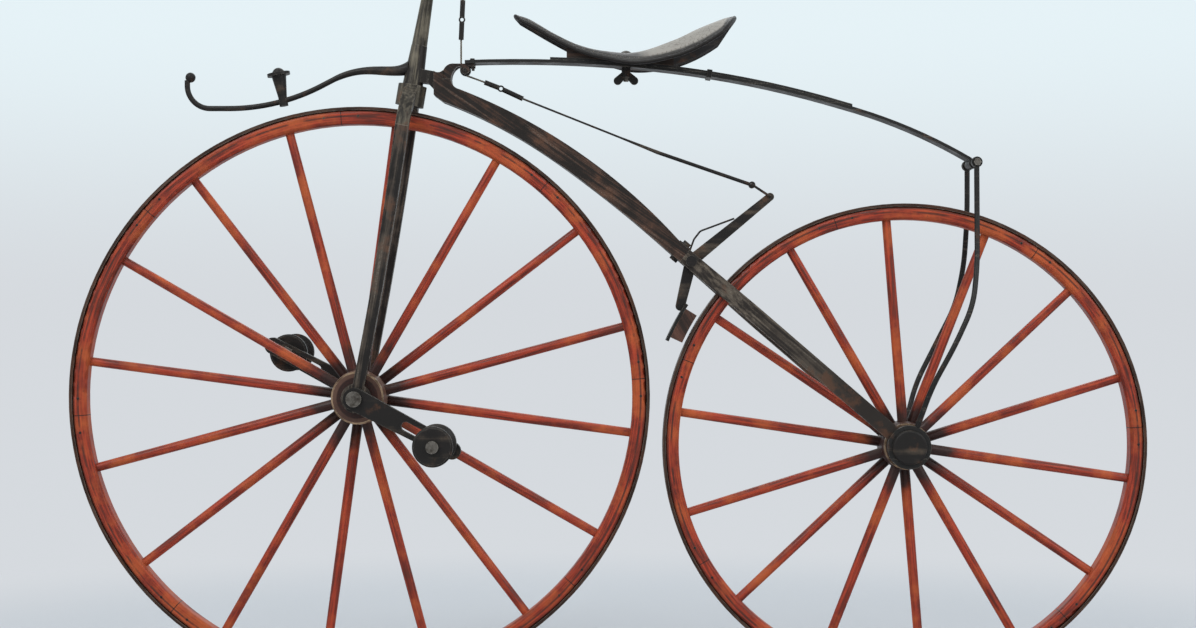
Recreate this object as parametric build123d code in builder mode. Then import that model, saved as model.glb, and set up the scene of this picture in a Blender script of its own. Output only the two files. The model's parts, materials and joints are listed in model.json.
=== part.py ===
from build123d import *
import os
from math import cos, radians, sin, tan

os.makedirs("parts", exist_ok=True)

# Boneshaker velocipede of about 1869, in millimetres, at rest and steered straight.
# It faces -X, so -Y is its left side, and +Z is up.
# The origin is on the saddle, where its rider sits.
# A station is a distance behind the front axle, and a height is above the ground.

# Wheels
front_wheel_radius = 457.0
rear_wheel_radius = 381.0
wheelbase = 858.0
rim_width = 32.0
tyre_thickness = 5.0
front_felloe_depth = 22.5
rear_felloe_depth = 20.5
felloe_rounding = 6.0
front_spoke_count = 16
front_spoke_phase = -7.5
rear_spoke_count = 14
rear_spoke_phase = -8.4
spoke_root_radius = 8.2
spoke_tip_radius = 6.9
spoke_stagger = 10.0
spoke_tip_stagger = 2.0
front_nave_radius = 43.0
rear_nave_radius = 38.0
front_nave_half = 46.0
rear_nave_half = 42.0
nave_barrel_half = 23.0
nave_taper = 4.5
band_width = 9.0
band_thickness = 2.5
axle_radius = 9.0
running_clearance = 0.08

# Head and saddle: the horn carries the spring, and the saddle's low point sets the origin
head_rise = 525.0
seat_rise = 17.0
seat_station = 435.0
horn_top = front_wheel_radius + head_rise
seat_height = horn_top + seat_rise

# Steering: the axis leans back at its top and passes through the front axle
head_angle = 9.53
crown_top = 499.0
crown_gap = 0.3
sleeve_length = 62.7
sleeve_radius_low = 16.2
sleeve_radius_high = 12.6
stem_radius = 9.0
post_radius_low = 12.2
post_radius_high = 9.3
post_taper_end = 640.0
bar_level = 738.0
blade_inner = 54.0
blade_thickness = 12.0
blade_half_depth_low = 9.0
blade_half_depth_high = 10.5
blade_bow = 3.8
blade_top = 430.0
fork_eye_radius = 23.0
wheel_top_gap = 9.0
crown_boss_radius = 22.5
bar_radius = 8.0
bar_half_length = 300.0
grip_length = 118.0
grip_radius = 15.0
lug_radius = 14.0
lug_half = 13.0
yoke_gap = 0.5
yoke_thickness = 6.0
winding_reach = 42.0

# Cranks and pedals
crank_angle = 27.8
crank_inner = 80.0
crank_thickness = 11.0
crank_boss_radius = 17.5
crank_boss_gap = 2.5
crank_end_radius = 13.5
crank_length = 184.0
slot_start = 83.0
slot_end = 172.0
slot_width = 14.0
pedal_throw = 145.0
pin_radius = 6.0
pin_collar_radius = 11.0
pin_collar_length = 5.0
pin_nut_thickness = 7.0
pedal_radius = 30.5
pedal_waist_radius = 17.0
pedal_length = 95.0
pedal_flange = 13.0
pedal_side_gap = 1.0
axle_nut_radius = 12.0
axle_nut_thickness = 8.0

# Backbone and rear legs
backbone_half_width = 19.0
bracket_station = 117.0
horn_half_width = 15.0
horn_slot_half = 7.5
leg_angle = 40.8
leg_depth = 24.5
leg_thickness = 11.0
leg_root_inner = 6.5
leg_inner = 47.0
leg_length = 457.1
rear_eye_radius = 33.0
cap_radius = 27.0
cap_thickness = 7.0

# Spring
leaf_half_width = 19.0
leaf_thickness = 5.0
short_leaf_thickness = 3.6
leaf_seat = 0.1

# Stays
stay_radius = 4.2
stay_eye_thickness = 8.6
shackle_setback = 108.0
shackle_height = 825.0
shackle_bolt_radius = 3.5
stay_top_offset = 43.0

# Brake
brake_gap = 5.0
lever_half_thickness = 5.0
lever_pivot_setback = 10.0
pivot_radius = 5.0
cord_radius = 1.6
rod_radius_front = 1.6
rod_radius_rear = 3.0
pulley_radius = 8.5
pulley_half_width = 5.0
pulley_station = 166.0
pulley_drop = 9.5
pulley_pin_radius = 2.5
spring_bolt_station = 177.5
spring_bolt_radius = 2.3
clamp_setback = 7.4
clamp_bolt_radius = 4.0

# Saddle parts
saddle_thickness = 6.5
saddle_bolt_advance = 15.5
saddle_bolt_radius = 4.0
bolt_clearance = 0.1


def at(station, height):
    """Give the point of the centre plane at a station and a height."""
    return (station - seat_station, height - seat_height)


def spot(station, lateral, height):
    """Give the point in space at a station, a sideways offset and a height."""
    return Vector(station - seat_station, lateral, height - seat_height)


def head_at(station, drop):
    """Give the point of the centre plane at a station and a depth below the horn's top."""
    return at(station, horn_top - drop)


def head_spot(station, drop):
    """Give the point in space, in the centre plane, at a station and a depth below the horn's top."""
    return spot(station, 0, horn_top - drop)


def bowed(start, end, rise):
    """Draw an arc between two points that rises above its chord."""
    chord = Vector(*end) - Vector(*start)
    middle = Vector(*start) + chord / 2 + Vector(-chord.Y, chord.X).normalized() * rise
    return ThreePointArc(start, middle, end)


def side_plane(lateral):
    """Give the vertical plane along the bicycle at an offset, drawn in frame X and Z."""
    return Plane(origin=(0, lateral, 0), x_dir=(1, 0, 0), z_dir=(0, -1, 0))


def between(start, end):
    """Give the plane at the start point that looks towards the end point."""
    return Plane(origin=start, z_dir=end - start)


def finish(piece, name):
    """Label a finished piece and write it."""
    piece.part.label = name
    export_step(piece.part, "parts/" + name + ".step")


front_hub = spot(0, 0, front_wheel_radius)
rear_hub = spot(wheelbase, 0, rear_wheel_radius)
front_wheel_axis = Axis(front_hub, (0, 1, 0))
rear_wheel_axis = Axis(rear_hub, (0, 1, 0))
head_sin = sin(radians(head_angle))
head_cos = cos(radians(head_angle))
steering_direction = Vector(head_sin, 0, head_cos)


def steering_point(level):
    """Give the point of the steering axis at a distance from the front axle."""
    return front_hub + steering_direction * level


def steering_level(level):
    """Give the plane square to the steering axis at a distance from the front axle."""
    return Plane(origin=steering_point(level), x_dir=(0, 1, 0), z_dir=steering_direction)


fork_side = Plane(origin=front_hub, x_dir=(head_cos, 0, -head_sin), z_dir=(0, -1, 0))
fork_front = Plane(origin=front_hub, x_dir=(0, 1, 0), z_dir=(head_cos, 0, -head_sin))


# Wheels: each has an iron tyre, a felloe ring, tapered spokes in two rows and a turned nave
def section_plane(hub):
    """Give the plane through a hub, drawn in lateral offset and radius."""
    return Plane(origin=hub, x_dir=(0, 1, 0), z_dir=(1, 0, 0))


def make_tyre(hub, axis, radius):
    with BuildPart() as tyre:
        with BuildSketch(section_plane(hub)):
            with Locations((0, radius - tyre_thickness / 2)):
                Rectangle(rim_width, tyre_thickness)
        revolve(axis=axis)
    return tyre


def make_felloes(hub, axis, radius, depth):
    with BuildPart() as felloes:
        with BuildSketch(section_plane(hub)) as profile:
            with Locations((0, radius - tyre_thickness - depth / 2)):
                Rectangle(rim_width, depth)
            inner_corners = profile.vertices().group_by(Axis.Z)[0]
            fillet(inner_corners, radius=felloe_rounding)
        revolve(axis=axis)
    return felloes


def nave_outline(radius, half_length):
    """List the nave's outline as lateral offset and radius, from its left end to its right end."""
    end_radius = radius - nave_taper
    band_start = half_length - band_width
    return [
        (-half_length, axle_radius + running_clearance),
        (-half_length, end_radius),
        (-band_start, end_radius),
        (-nave_barrel_half, radius),
        (nave_barrel_half, radius),
        (band_start, end_radius),
        (half_length, end_radius),
        (half_length, axle_radius + running_clearance),
    ]


def make_nave(hub, axis, radius, half_length, bore_radius):
    with BuildPart() as nave:
        with BuildSketch(section_plane(hub)):
            with BuildLine():
                Polyline(*nave_outline(radius, half_length), close=True)
            make_face()
        revolve(axis=axis)
        if bore_radius < axle_radius + running_clearance:
            with BuildSketch(section_plane(hub)):
                with Locations((0, (bore_radius + axle_radius + 1) / 2)):
                    Rectangle(2 * half_length, axle_radius + 1 - bore_radius)
            revolve(axis=axis)
    return nave


def make_bands(hub, axis, radius, half_length):
    """Make the two iron bands that bind the ends of a nave."""
    inner = radius - nave_taper
    with BuildPart() as bands:
        for side in (-1, 1):
            with BuildSketch(section_plane(hub)):
                with Locations((side * (half_length - band_width / 2), inner + band_thickness / 2)):
                    Rectangle(band_width, band_thickness)
            revolve(axis=axis)
    return bands


def make_spokes(hub, count, phase, near_row, nave_radius, rim_inner_radius):
    """Make the spokes, trimmed to the nave and to the felloes, in rows that alternate."""
    overlap = 3.0
    with BuildPart() as spokes:
        for number in range(count):
            angle = radians(phase + number * 360 / count)
            row = -1 if number % 2 == near_row else 1
            outward = Vector(cos(angle), 0, sin(angle))
            sideways = Vector(0, row, 0)
            root = hub + outward * (nave_radius - overlap) + sideways * spoke_stagger
            tip = hub + outward * (rim_inner_radius + overlap) + sideways * spoke_tip_stagger
            with Locations(Location(between(root, tip))):
                Cone(
                    spoke_root_radius,
                    spoke_tip_radius,
                    (tip - root).length,
                    align=(Align.CENTER, Align.CENTER, Align.MIN),
                )
        hub_place = Location(Plane(origin=hub, x_dir=(1, 0, 0), z_dir=(0, -1, 0)))
        with Locations(hub_place):
            Cylinder(nave_radius, 2 * rim_width, mode=Mode.SUBTRACT)
            Cylinder(rim_inner_radius, 2 * rim_width, mode=Mode.INTERSECT)
    return spokes


front_rim_inner = front_wheel_radius - tyre_thickness - front_felloe_depth
rear_rim_inner = rear_wheel_radius - tyre_thickness - rear_felloe_depth

front_tyre = make_tyre(front_hub, front_wheel_axis, front_wheel_radius)
rear_tyre = make_tyre(rear_hub, rear_wheel_axis, rear_wheel_radius)
front_felloes = make_felloes(front_hub, front_wheel_axis, front_wheel_radius, front_felloe_depth)
rear_felloes = make_felloes(rear_hub, rear_wheel_axis, rear_wheel_radius, rear_felloe_depth)
front_nave = make_nave(front_hub, front_wheel_axis, front_nave_radius, front_nave_half, axle_radius)
rear_nave = make_nave(
    rear_hub, rear_wheel_axis, rear_nave_radius, rear_nave_half, axle_radius + running_clearance
)
front_bands = make_bands(front_hub, front_wheel_axis, front_nave_radius, front_nave_half)
rear_bands = make_bands(rear_hub, rear_wheel_axis, rear_nave_radius, rear_nave_half)
front_spokes = make_spokes(
    front_hub, front_spoke_count, front_spoke_phase, 1, front_nave_radius, front_rim_inner
)
rear_spokes = make_spokes(
    rear_hub, rear_spoke_count, rear_spoke_phase, 0, rear_nave_radius, rear_rim_inner
)

finish(front_tyre, "front_tyre")
finish(rear_tyre, "rear_tyre")
finish(front_felloes, "front_felloes")
finish(rear_felloes, "rear_felloes")
finish(front_nave, "front_nave")
finish(rear_nave, "rear_nave")
finish(front_bands, "front_nave_bands")
finish(rear_bands, "rear_nave_bands")
finish(front_spokes, "front_spokes")
finish(rear_spokes, "rear_spokes")

# Front axle, turning with the wheel, with a collar inside each fork eye
blade_outer = blade_inner + blade_thickness
crank_outer = crank_inner + crank_thickness
axle_collar_radius = 14.0
with BuildPart(Plane(origin=front_hub, x_dir=(1, 0, 0), z_dir=(0, -1, 0))) as front_axle:
    Cylinder(axle_radius, 2 * crank_outer)
    for side in (-1, 1):
        collar_middle = side * (front_nave_half + blade_inner - crown_gap) / 2
        with Locations((0, 0, collar_middle)):
            Cylinder(axle_collar_radius, blade_inner - crown_gap - front_nave_half)
        with Locations((0, 0, side * (crank_outer + axle_nut_thickness / 2))):
            Cylinder(axle_nut_radius, axle_nut_thickness)
finish(front_axle, "front_axle")


# Cranks: slotted arms, one opposite the other
def crank_plane(side, lateral):
    """Give the plane of a crank's face, with X along the crank and Z away from the wheel."""
    angle = radians(-crank_angle if side < 0 else 180 - crank_angle)
    origin = front_hub + Vector(0, side * lateral, 0)
    return Plane(origin=origin, x_dir=(cos(angle), 0, sin(angle)), z_dir=(0, side, 0))


boss_inner = blade_outer + crank_boss_gap
with BuildPart() as cranks:
    for side in (-1, 1):
        with BuildSketch(crank_plane(side, crank_inner)):
            Circle(crank_boss_radius)
            with Locations((crank_length - crank_end_radius, 0)):
                Circle(crank_end_radius)
            make_hull()
            with Locations(((slot_start + slot_end) / 2, 0)):
                SlotOverall(slot_end - slot_start, slot_width, mode=Mode.SUBTRACT)
        extrude(amount=crank_thickness)
        with BuildSketch(crank_plane(side, boss_inner)):
            Circle(crank_boss_radius)
        extrude(amount=crank_inner - boss_inner)
        with BuildSketch(crank_plane(side, boss_inner)):
            Circle(axle_radius)
        extrude(amount=crank_outer - boss_inner, mode=Mode.SUBTRACT)
finish(cranks, "cranks")

# Pedal pins: a nut inside the crank, a collar outside it, and an end nut beyond the pedal
pedal_inner = crank_outer + pin_collar_length + pedal_side_gap
pedal_outer = pedal_inner + pedal_length
end_nut_radius = 9.5
end_nut_thickness = 7.0


with BuildPart() as pedal_pins:
    for side in (-1, 1):
        with BuildSketch(crank_plane(side, crank_inner - pin_nut_thickness)):
            with Locations((pedal_throw, 0)):
                RegularPolygon(pin_collar_radius, 6)
        extrude(amount=pin_nut_thickness)
        with BuildSketch(crank_plane(side, crank_inner)):
            with Locations((pedal_throw, 0)):
                Circle(pin_radius)
        extrude(amount=pedal_outer + pedal_side_gap + end_nut_thickness - crank_inner)
        with BuildSketch(crank_plane(side, crank_outer)):
            with Locations((pedal_throw, 0)):
                Circle(pin_collar_radius)
        extrude(amount=pin_collar_length)
        with BuildSketch(crank_plane(side, pedal_outer + pedal_side_gap)):
            with Locations((pedal_throw, 0)):
                Circle(end_nut_radius)
        extrude(amount=end_nut_thickness)
finish(pedal_pins, "pedal_pins")


def make_pedal(side):
    """Make a turned spool pedal with a broad flange at each end."""
    angle = radians(-crank_angle if side < 0 else 180 - crank_angle)
    centre = front_hub + Vector(cos(angle), 0, sin(angle)) * pedal_throw
    bore = pin_radius + running_clearance
    waist_inner = pedal_inner + pedal_flange
    waist_outer = pedal_outer - pedal_flange
    rounding = 3.0
    outline = [
        (pedal_inner, bore),
        (pedal_inner, pedal_radius - rounding),
        (pedal_inner + rounding, pedal_radius),
        (waist_inner - rounding, pedal_radius),
        (waist_inner + rounding, pedal_waist_radius),
        (waist_outer - rounding, pedal_waist_radius),
        (waist_outer + rounding, pedal_radius),
        (pedal_outer - rounding, pedal_radius),
        (pedal_outer, pedal_radius - rounding),
        (pedal_outer, bore),
    ]
    with BuildPart() as pedal:
        with BuildSketch(section_plane(centre)):
            with BuildLine():
                Polyline(*[(side * lateral, radius) for lateral, radius in outline], close=True)
            make_face()
        revolve(axis=Axis(centre, (0, 1, 0)))
    return pedal


finish(make_pedal(-1), "left_pedal")
finish(make_pedal(1), "right_pedal")

# Front fork: two flat blades with eyes on the axle, below an arched crown
with BuildPart() as fork_blades:
    low = blade_half_depth_low
    high = blade_half_depth_high
    for side in (-1, 1):
        inner_face = front_hub + Vector(0, side * blade_inner, 0)
        with BuildSketch(Plane(origin=inner_face, x_dir=fork_side.x_dir, z_dir=(0, -1, 0))):
            with BuildLine():
                ThreePointArc((-low, 0), (-low + blade_bow, blade_top / 2), (-high, blade_top))
                Line((-high, blade_top), (high, blade_top))
                ThreePointArc((high, blade_top), (low + blade_bow, blade_top / 2), (low, 0))
                Line((low, 0), (-low, 0))
            make_face()
            Circle(fork_eye_radius)
            Circle(axle_radius + running_clearance, mode=Mode.SUBTRACT)
        extrude(amount=-side * blade_thickness)
finish(fork_blades, "fork_blades")

arch_level = front_wheel_radius + wheel_top_gap
arch_radius = arch_level - blade_top
neck_half = 19.0
shoulder_level = arch_level + 22
with BuildPart() as fork_crown:
    with BuildSketch(fork_front):
        with BuildLine():
            Line((blade_inner, blade_top), (blade_outer, blade_top))
            shoulder = (neck_half + 12, shoulder_level)
            ThreePointArc((blade_outer, blade_top), (blade_outer - 12, arch_level), shoulder)
            ThreePointArc(shoulder, (neck_half + 3, shoulder_level + 7), (neck_half, crown_top))
            Line((neck_half, crown_top), (0, crown_top))
            Line((0, crown_top), (0, arch_level))
            Line((0, arch_level), (blade_inner - arch_radius, arch_level))
            RadiusArc((blade_inner - arch_radius, arch_level), (blade_inner, blade_top), arch_radius)
        make_face()
        mirror(about=Plane.YZ)
    extrude(amount=blade_half_depth_high, both=True)
    with BuildSketch(steering_level(arch_level)):
        Circle(crown_boss_radius)
    extrude(amount=crown_top - arch_level)
finish(fork_crown, "fork_crown")

# Steering post: a stem that turns in the head sleeve, a tapered post and the lug of the handlebar
sleeve_low = crown_top + crown_gap
sleeve_high = sleeve_low + sleeve_length
post_low = sleeve_high + crown_gap
lug_neck_level = bar_level - lug_radius + 2
bar_place = Plane(origin=steering_point(bar_level), x_dir=fork_side.x_dir, z_dir=(0, -1, 0))
with BuildPart() as steering_post:
    with BuildSketch(steering_level(crown_top)):
        Circle(stem_radius)
    extrude(amount=lug_neck_level - crown_top)
    with Locations(Location(steering_level(post_low))):
        Cone(
            post_radius_low,
            post_radius_high,
            post_taper_end - post_low,
            align=(Align.CENTER, Align.CENTER, Align.MIN),
        )
    with Locations(Location(steering_level(post_taper_end))):
        Cylinder(
            post_radius_high,
            lug_neck_level - post_taper_end,
            align=(Align.CENTER, Align.CENTER, Align.MIN),
        )
    with BuildSketch(bar_place):
        Circle(lug_radius)
    extrude(amount=lug_half, both=True)
    with BuildSketch(bar_place):
        Circle(bar_radius)
    extrude(amount=lug_half, both=True, mode=Mode.SUBTRACT)
finish(steering_post, "steering_post")

# Handlebar: a straight round bar with turned wooden grips and the yoke that winds the brake cord
with BuildPart() as handlebar:
    with BuildSketch(bar_place):
        Circle(bar_radius)
    extrude(amount=bar_half_length, both=True)
finish(handlebar, "handlebar")


bar_centre = steering_point(bar_level)
grip_inner = bar_half_length - grip_length + 8
grip_end = grip_inner + grip_length
grip_outline = [
    # lateral offset and radius
    (grip_inner, bar_radius),
    (grip_inner, grip_radius - 4),
    (grip_inner + 8, grip_radius - 1),
    (grip_inner + 0.3 * grip_length, grip_radius - 2.5),
    (grip_inner + 0.7 * grip_length, grip_radius),
    (grip_end - 8, grip_radius - 1),
    (grip_end, grip_radius - 6),
    (grip_end, 0),
    (bar_half_length, 0),
    (bar_half_length, bar_radius),
]
with BuildPart() as grips:
    for side in (-1, 1):
        with BuildSketch(section_plane(bar_centre)):
            with BuildLine():
                Polyline(*[(side * lateral, radius) for lateral, radius in grip_outline], close=True)
            make_face()
        revolve(axis=Axis(bar_centre, (0, 1, 0)))
finish(grips, "grips")

yoke_ring_radius = bar_radius + 5
yoke_inner = lug_half + yoke_gap
yoke_outer = yoke_inner + yoke_thickness
yoke_half_height = 4.5
yoke_hole_radius = 2.6
yoke_cheek_reach = winding_reach - 2
yoke_place = Plane(origin=steering_point(bar_level), x_dir=(1, 0, 0), z_dir=(0, -1, 0))
with BuildPart() as winding_yoke:
    with BuildSketch(yoke_place):
        Circle(yoke_ring_radius)
        with Locations((yoke_cheek_reach / 2, 0)):
            Rectangle(yoke_cheek_reach, 2 * yoke_half_height)
    extrude(amount=yoke_outer, both=True)
    with BuildSketch(yoke_place):
        Rectangle(2 * (yoke_cheek_reach - yoke_thickness), 4 * yoke_ring_radius)
    extrude(amount=yoke_inner, both=True, mode=Mode.SUBTRACT)
    with BuildSketch(yoke_place):
        Circle(bar_radius)
    extrude(amount=yoke_outer, both=True, mode=Mode.SUBTRACT)
    with BuildSketch(yoke_place):
        with Locations((winding_reach, 0)):
            Circle(yoke_half_height + 1.5)
    extrude(amount=yoke_thickness / 2, both=True)
    with BuildSketch(yoke_place):
        with Locations((winding_reach, 0)):
            Circle(yoke_hole_radius)
    extrude(amount=yoke_thickness / 2, both=True, mode=Mode.SUBTRACT)
finish(winding_yoke, "winding_yoke")

# Head socket: a tapered sleeve round the stem, joined to the backbone by a short neck
neck_half_width = 12.0
bracket_drop = 11.6
neck_rows = [
    # station of the neck's outline, and depth below the horn's top
    (86.0, 28.0),
    (108.0, 30.5),
    (bracket_station, 40.0),
    (bracket_station, bracket_drop),
    (86.0, 6.0),
]
with BuildPart() as head_socket:
    with BuildSketch(Plane.XZ):
        with BuildLine():
            Polyline(*[head_at(*row) for row in neck_rows], close=True)
        make_face()
    extrude(amount=neck_half_width, both=True)
    with Locations(Location(steering_level(sleeve_low))):
        Cone(
            sleeve_radius_low,
            sleeve_radius_high,
            sleeve_length,
            align=(Align.CENTER, Align.CENTER, Align.MIN),
        )
    with BuildSketch(steering_level(sleeve_low - 20)):
        Circle(stem_radius + running_clearance)
    extrude(amount=sleeve_length + 40, mode=Mode.SUBTRACT)
finish(head_socket, "head_socket")

# Backbone: a curved bar with a forged bracket and horn at its front end
leg_slope = tan(radians(leg_angle))
leg_direction = Vector(cos(radians(leg_angle)), 0, -sin(radians(leg_angle)))


def leg_centre_height(station):
    """Give the height of the rear legs' centreline at a station."""
    return rear_wheel_radius + (wheelbase - station) * leg_slope


leg_root_station = wheelbase - leg_length * cos(radians(leg_angle))
root_centre = Vector(*at(leg_root_station, leg_centre_height(leg_root_station)))
root_half = Vector(sin(radians(leg_angle)), cos(radians(leg_angle))) * (leg_depth / 2)
root_top = root_centre + root_half
root_bottom = root_centre - root_half
flat_length = 24.0
flat_end = Vector(leg_direction.X, leg_direction.Z) * -flat_length
flat_top = root_top + flat_end
flat_bottom = root_bottom + flat_end
prong_thickness = 4.5
prong_bottom = horn_top - prong_thickness
horn_tip_station = 181.0
pulley_lug_radius = 7.0
prong_middle = (horn_half_width + horn_slot_half) / 2
horn_trim = 20.0
clamp_station = leg_root_station - clamp_setback
clamp_centre = spot(clamp_station, 0, leg_centre_height(clamp_station))
clamp_place = Plane(
    origin=clamp_centre, x_dir=(0, 1, 0), z_dir=(sin(radians(leg_angle)), 0, cos(radians(leg_angle)))
)
lever_pivot_station = leg_root_station + lever_pivot_setback
lever_pivot_height = leg_centre_height(lever_pivot_station)
backbone_start = head_at(157.1, 40.4)
underside_start = head_at(131.8, 60.0)
underside_chord = flat_bottom - Vector(*underside_start)
underside_rise = Vector(-underside_chord.Y, underside_chord.X).normalized() * 19.5
underside_middle = Vector(*underside_start) + underside_chord * 0.469 + underside_rise
bracket_low = head_at(bracket_station, 49.0)
with BuildPart() as backbone:
    with BuildSketch(Plane.XZ):
        with BuildLine():
            Line(bracket_low, head_at(bracket_station, bracket_drop))
            ThreePointArc(head_at(bracket_station, bracket_drop), head_at(124.5, 14), head_at(133.4, 7.5))
            ThreePointArc(head_at(133.4, 7.5), head_at(140, 1.5), head_at(149, 0))
            Line(head_at(149, 0), head_at(horn_tip_station, 0))
            Line(head_at(horn_tip_station, 0), head_at(horn_tip_station, prong_thickness))
            Line(head_at(horn_tip_station, prong_thickness), head_at(155, prong_thickness))
            ThreePointArc(head_at(155, prong_thickness), head_at(148, 11), head_at(144.5, 21))
            ThreePointArc(head_at(144.5, 21), head_at(146, 32), backbone_start)
            bowed(backbone_start, flat_top, 24.5)
            Polyline(flat_top, root_top, root_bottom, flat_bottom)
            bowed(underside_middle, flat_bottom, 3.4)
            bowed(underside_start, underside_middle, 6.4)
            Line(underside_start, bracket_low)
        make_face()
    extrude(amount=backbone_half_width, both=True)
    with BuildSketch(Plane.XZ):
        with Locations(head_at(pulley_station, pulley_drop)):
            Circle(pulley_lug_radius)
    extrude(amount=horn_half_width, both=True)
    with BuildSketch(Plane.XZ):
        with BuildLine():
            Polyline(
                head_at(150, -5),
                head_at(horn_tip_station + 5, -5),
                head_at(horn_tip_station + 5, horn_trim),
                head_at(150, horn_trim),
                close=True,
            )
        make_face()
    extrude(amount=horn_slot_half, both=True, mode=Mode.SUBTRACT)
    for side in (-1, 1):
        with BuildSketch(side_plane(side * horn_half_width)):
            with BuildLine():
                Polyline(
                    head_at(131, -5),
                    head_at(horn_tip_station + 5, -5),
                    head_at(horn_tip_station + 5, 24),
                    head_at(131, 24),
                    close=True,
                )
            make_face()
        extrude(amount=-side * 10, mode=Mode.SUBTRACT)
    with BuildSketch(Plane.XZ):
        with Locations(head_at(pulley_station, pulley_drop)):
            Circle(pulley_pin_radius + bolt_clearance)
    extrude(amount=horn_half_width, both=True, mode=Mode.SUBTRACT)
    for side in (-1, 1):
        with BuildSketch(Plane.XY.offset(prong_bottom - 1 - seat_height)):
            with Locations((spring_bolt_station - seat_station, side * prong_middle)):
                Circle(spring_bolt_radius + bolt_clearance)
        extrude(amount=horn_top - prong_bottom + 2, mode=Mode.SUBTRACT)
    with BuildSketch(clamp_place):
        Circle(clamp_bolt_radius + bolt_clearance)
    extrude(amount=leg_depth, both=True, mode=Mode.SUBTRACT)
finish(backbone, "backbone")

# Pulley of the brake cord, on a pin between the horn's prongs
pulley_centre = head_spot(pulley_station, pulley_drop)
groove_half = cord_radius + 0.4
groove_radius = pulley_radius - 2 * cord_radius
pulley_pin_half = horn_half_width + 1.5
with BuildPart() as cord_pulley:
    with BuildSketch(section_plane(pulley_centre)):
        with BuildLine():
            Polyline(
                (-pulley_pin_half, 0),
                (-pulley_pin_half, pulley_pin_radius),
                (-pulley_half_width, pulley_pin_radius),
                (-pulley_half_width, pulley_radius),
                (-groove_half, pulley_radius),
                (-groove_half, groove_radius),
                (groove_half, groove_radius),
                (groove_half, pulley_radius),
                (pulley_half_width, pulley_radius),
                (pulley_half_width, pulley_pin_radius),
                (pulley_pin_half, pulley_pin_radius),
                (pulley_pin_half, 0),
                close=True,
            )
        make_face()
    revolve(axis=Axis(pulley_centre, (0, 1, 0)))
finish(cord_pulley, "cord_pulley")


# Rear legs: flat bars that spread from the backbone's end to either side of the rear wheel
def make_leg(side):
    half = leg_depth / 2
    length = (wheelbase - leg_root_station) / cos(radians(leg_angle))
    spread_start = wheelbase - 0.93 * (wheelbase - leg_root_station)
    spread_end = wheelbase - 0.68 * (wheelbase - leg_root_station)
    root_outer = backbone_half_width
    outer = leg_inner + leg_thickness
    leg_plane = Plane(origin=rear_hub, x_dir=-leg_direction, z_dir=(0, -1, 0))
    with BuildPart() as leg:
        with BuildSketch(leg_plane):
            with Locations((length / 2, 0)):
                Rectangle(length, leg_depth)
        extrude(amount=outer + 2, both=True)
        with BuildSketch(Plane.XY):
            with BuildLine():
                Polyline(
                    (leg_root_station - 2 * half - seat_station, side * leg_root_inner),
                    (spread_start - seat_station, side * leg_root_inner),
                    (spread_end - seat_station, side * leg_inner),
                    (wheelbase + half - seat_station, side * leg_inner),
                    (wheelbase + half - seat_station, side * outer),
                    (spread_end - leg_thickness / 4 - seat_station, side * outer),
                    (spread_start - leg_thickness / 4 - seat_station, side * root_outer),
                    (leg_root_station - 2 * half - seat_station, side * root_outer),
                    close=True,
                )
            make_face()
        extrude(amount=2 * seat_height, both=True, mode=Mode.INTERSECT)
        with BuildSketch(side_plane(side * leg_inner)):
            with Locations((rear_hub.X, rear_hub.Z)):
                Circle(rear_eye_radius)
        extrude(amount=-side * leg_thickness)
        with BuildSketch(side_plane(side * leg_inner)):
            with Locations((rear_hub.X, rear_hub.Z)):
                Circle(axle_radius)
        extrude(amount=-side * leg_thickness, mode=Mode.SUBTRACT)
        with BuildSketch(Plane.XZ):
            with Locations(at(lever_pivot_station, lever_pivot_height)):
                Circle(pivot_radius + bolt_clearance)
        extrude(amount=3 * backbone_half_width, both=True, mode=Mode.SUBTRACT)
    return leg


with BuildPart() as rear_legs:
    add(make_leg(-1).part)
    add(make_leg(1).part)
finish(rear_legs, "rear_legs")

# Rear axle, fixed in the legs, with a domed cap at each end
leg_outer = leg_inner + leg_thickness
cap_inner = leg_outer + stay_eye_thickness
cap_outer = cap_inner + cap_thickness
rear_collar_gap = 0.3
with BuildPart(Plane(origin=rear_hub, x_dir=(1, 0, 0), z_dir=(0, -1, 0))) as rear_axle:
    Cylinder(axle_radius, 2 * cap_inner)
    for side in (-1, 1):
        with Locations((0, 0, side * (leg_inner + rear_nave_half + rear_collar_gap) / 2)):
            Cylinder(axle_collar_radius, leg_inner - rear_nave_half - rear_collar_gap)
finish(rear_axle, "rear_axle")

with BuildPart() as axle_caps:
    for side in (-1, 1):
        with BuildSketch(side_plane(side * cap_inner)):
            with Locations((rear_hub.X, rear_hub.Z)):
                Circle(cap_radius)
        extrude(amount=-side * cap_thickness)
    outer_rims = axle_caps.edges().filter_by(GeomType.CIRCLE).filter_by(
        lambda edge: abs(abs(edge.center().Y) - cap_outer) < 0.01
    )
    fillet(outer_rims, radius=cap_thickness / 2)
finish(axle_caps, "rear_axle_caps")

# Stays: round rods from the shackle bolt behind the spring, bowed outwards, to eyes on the rear axle
shackle_station = wheelbase + shackle_setback
stay_rows = [
    # distance behind the rear axle, sideways offset and height above it
    (108.2, 44.5, 364.0),
    (106.0, 60.0, 287.0),
    (96.0, 82.0, 221.0),
    (65.7, 93.0, 158.0),
    (32.0, 84.0, 95.0),
]


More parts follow.
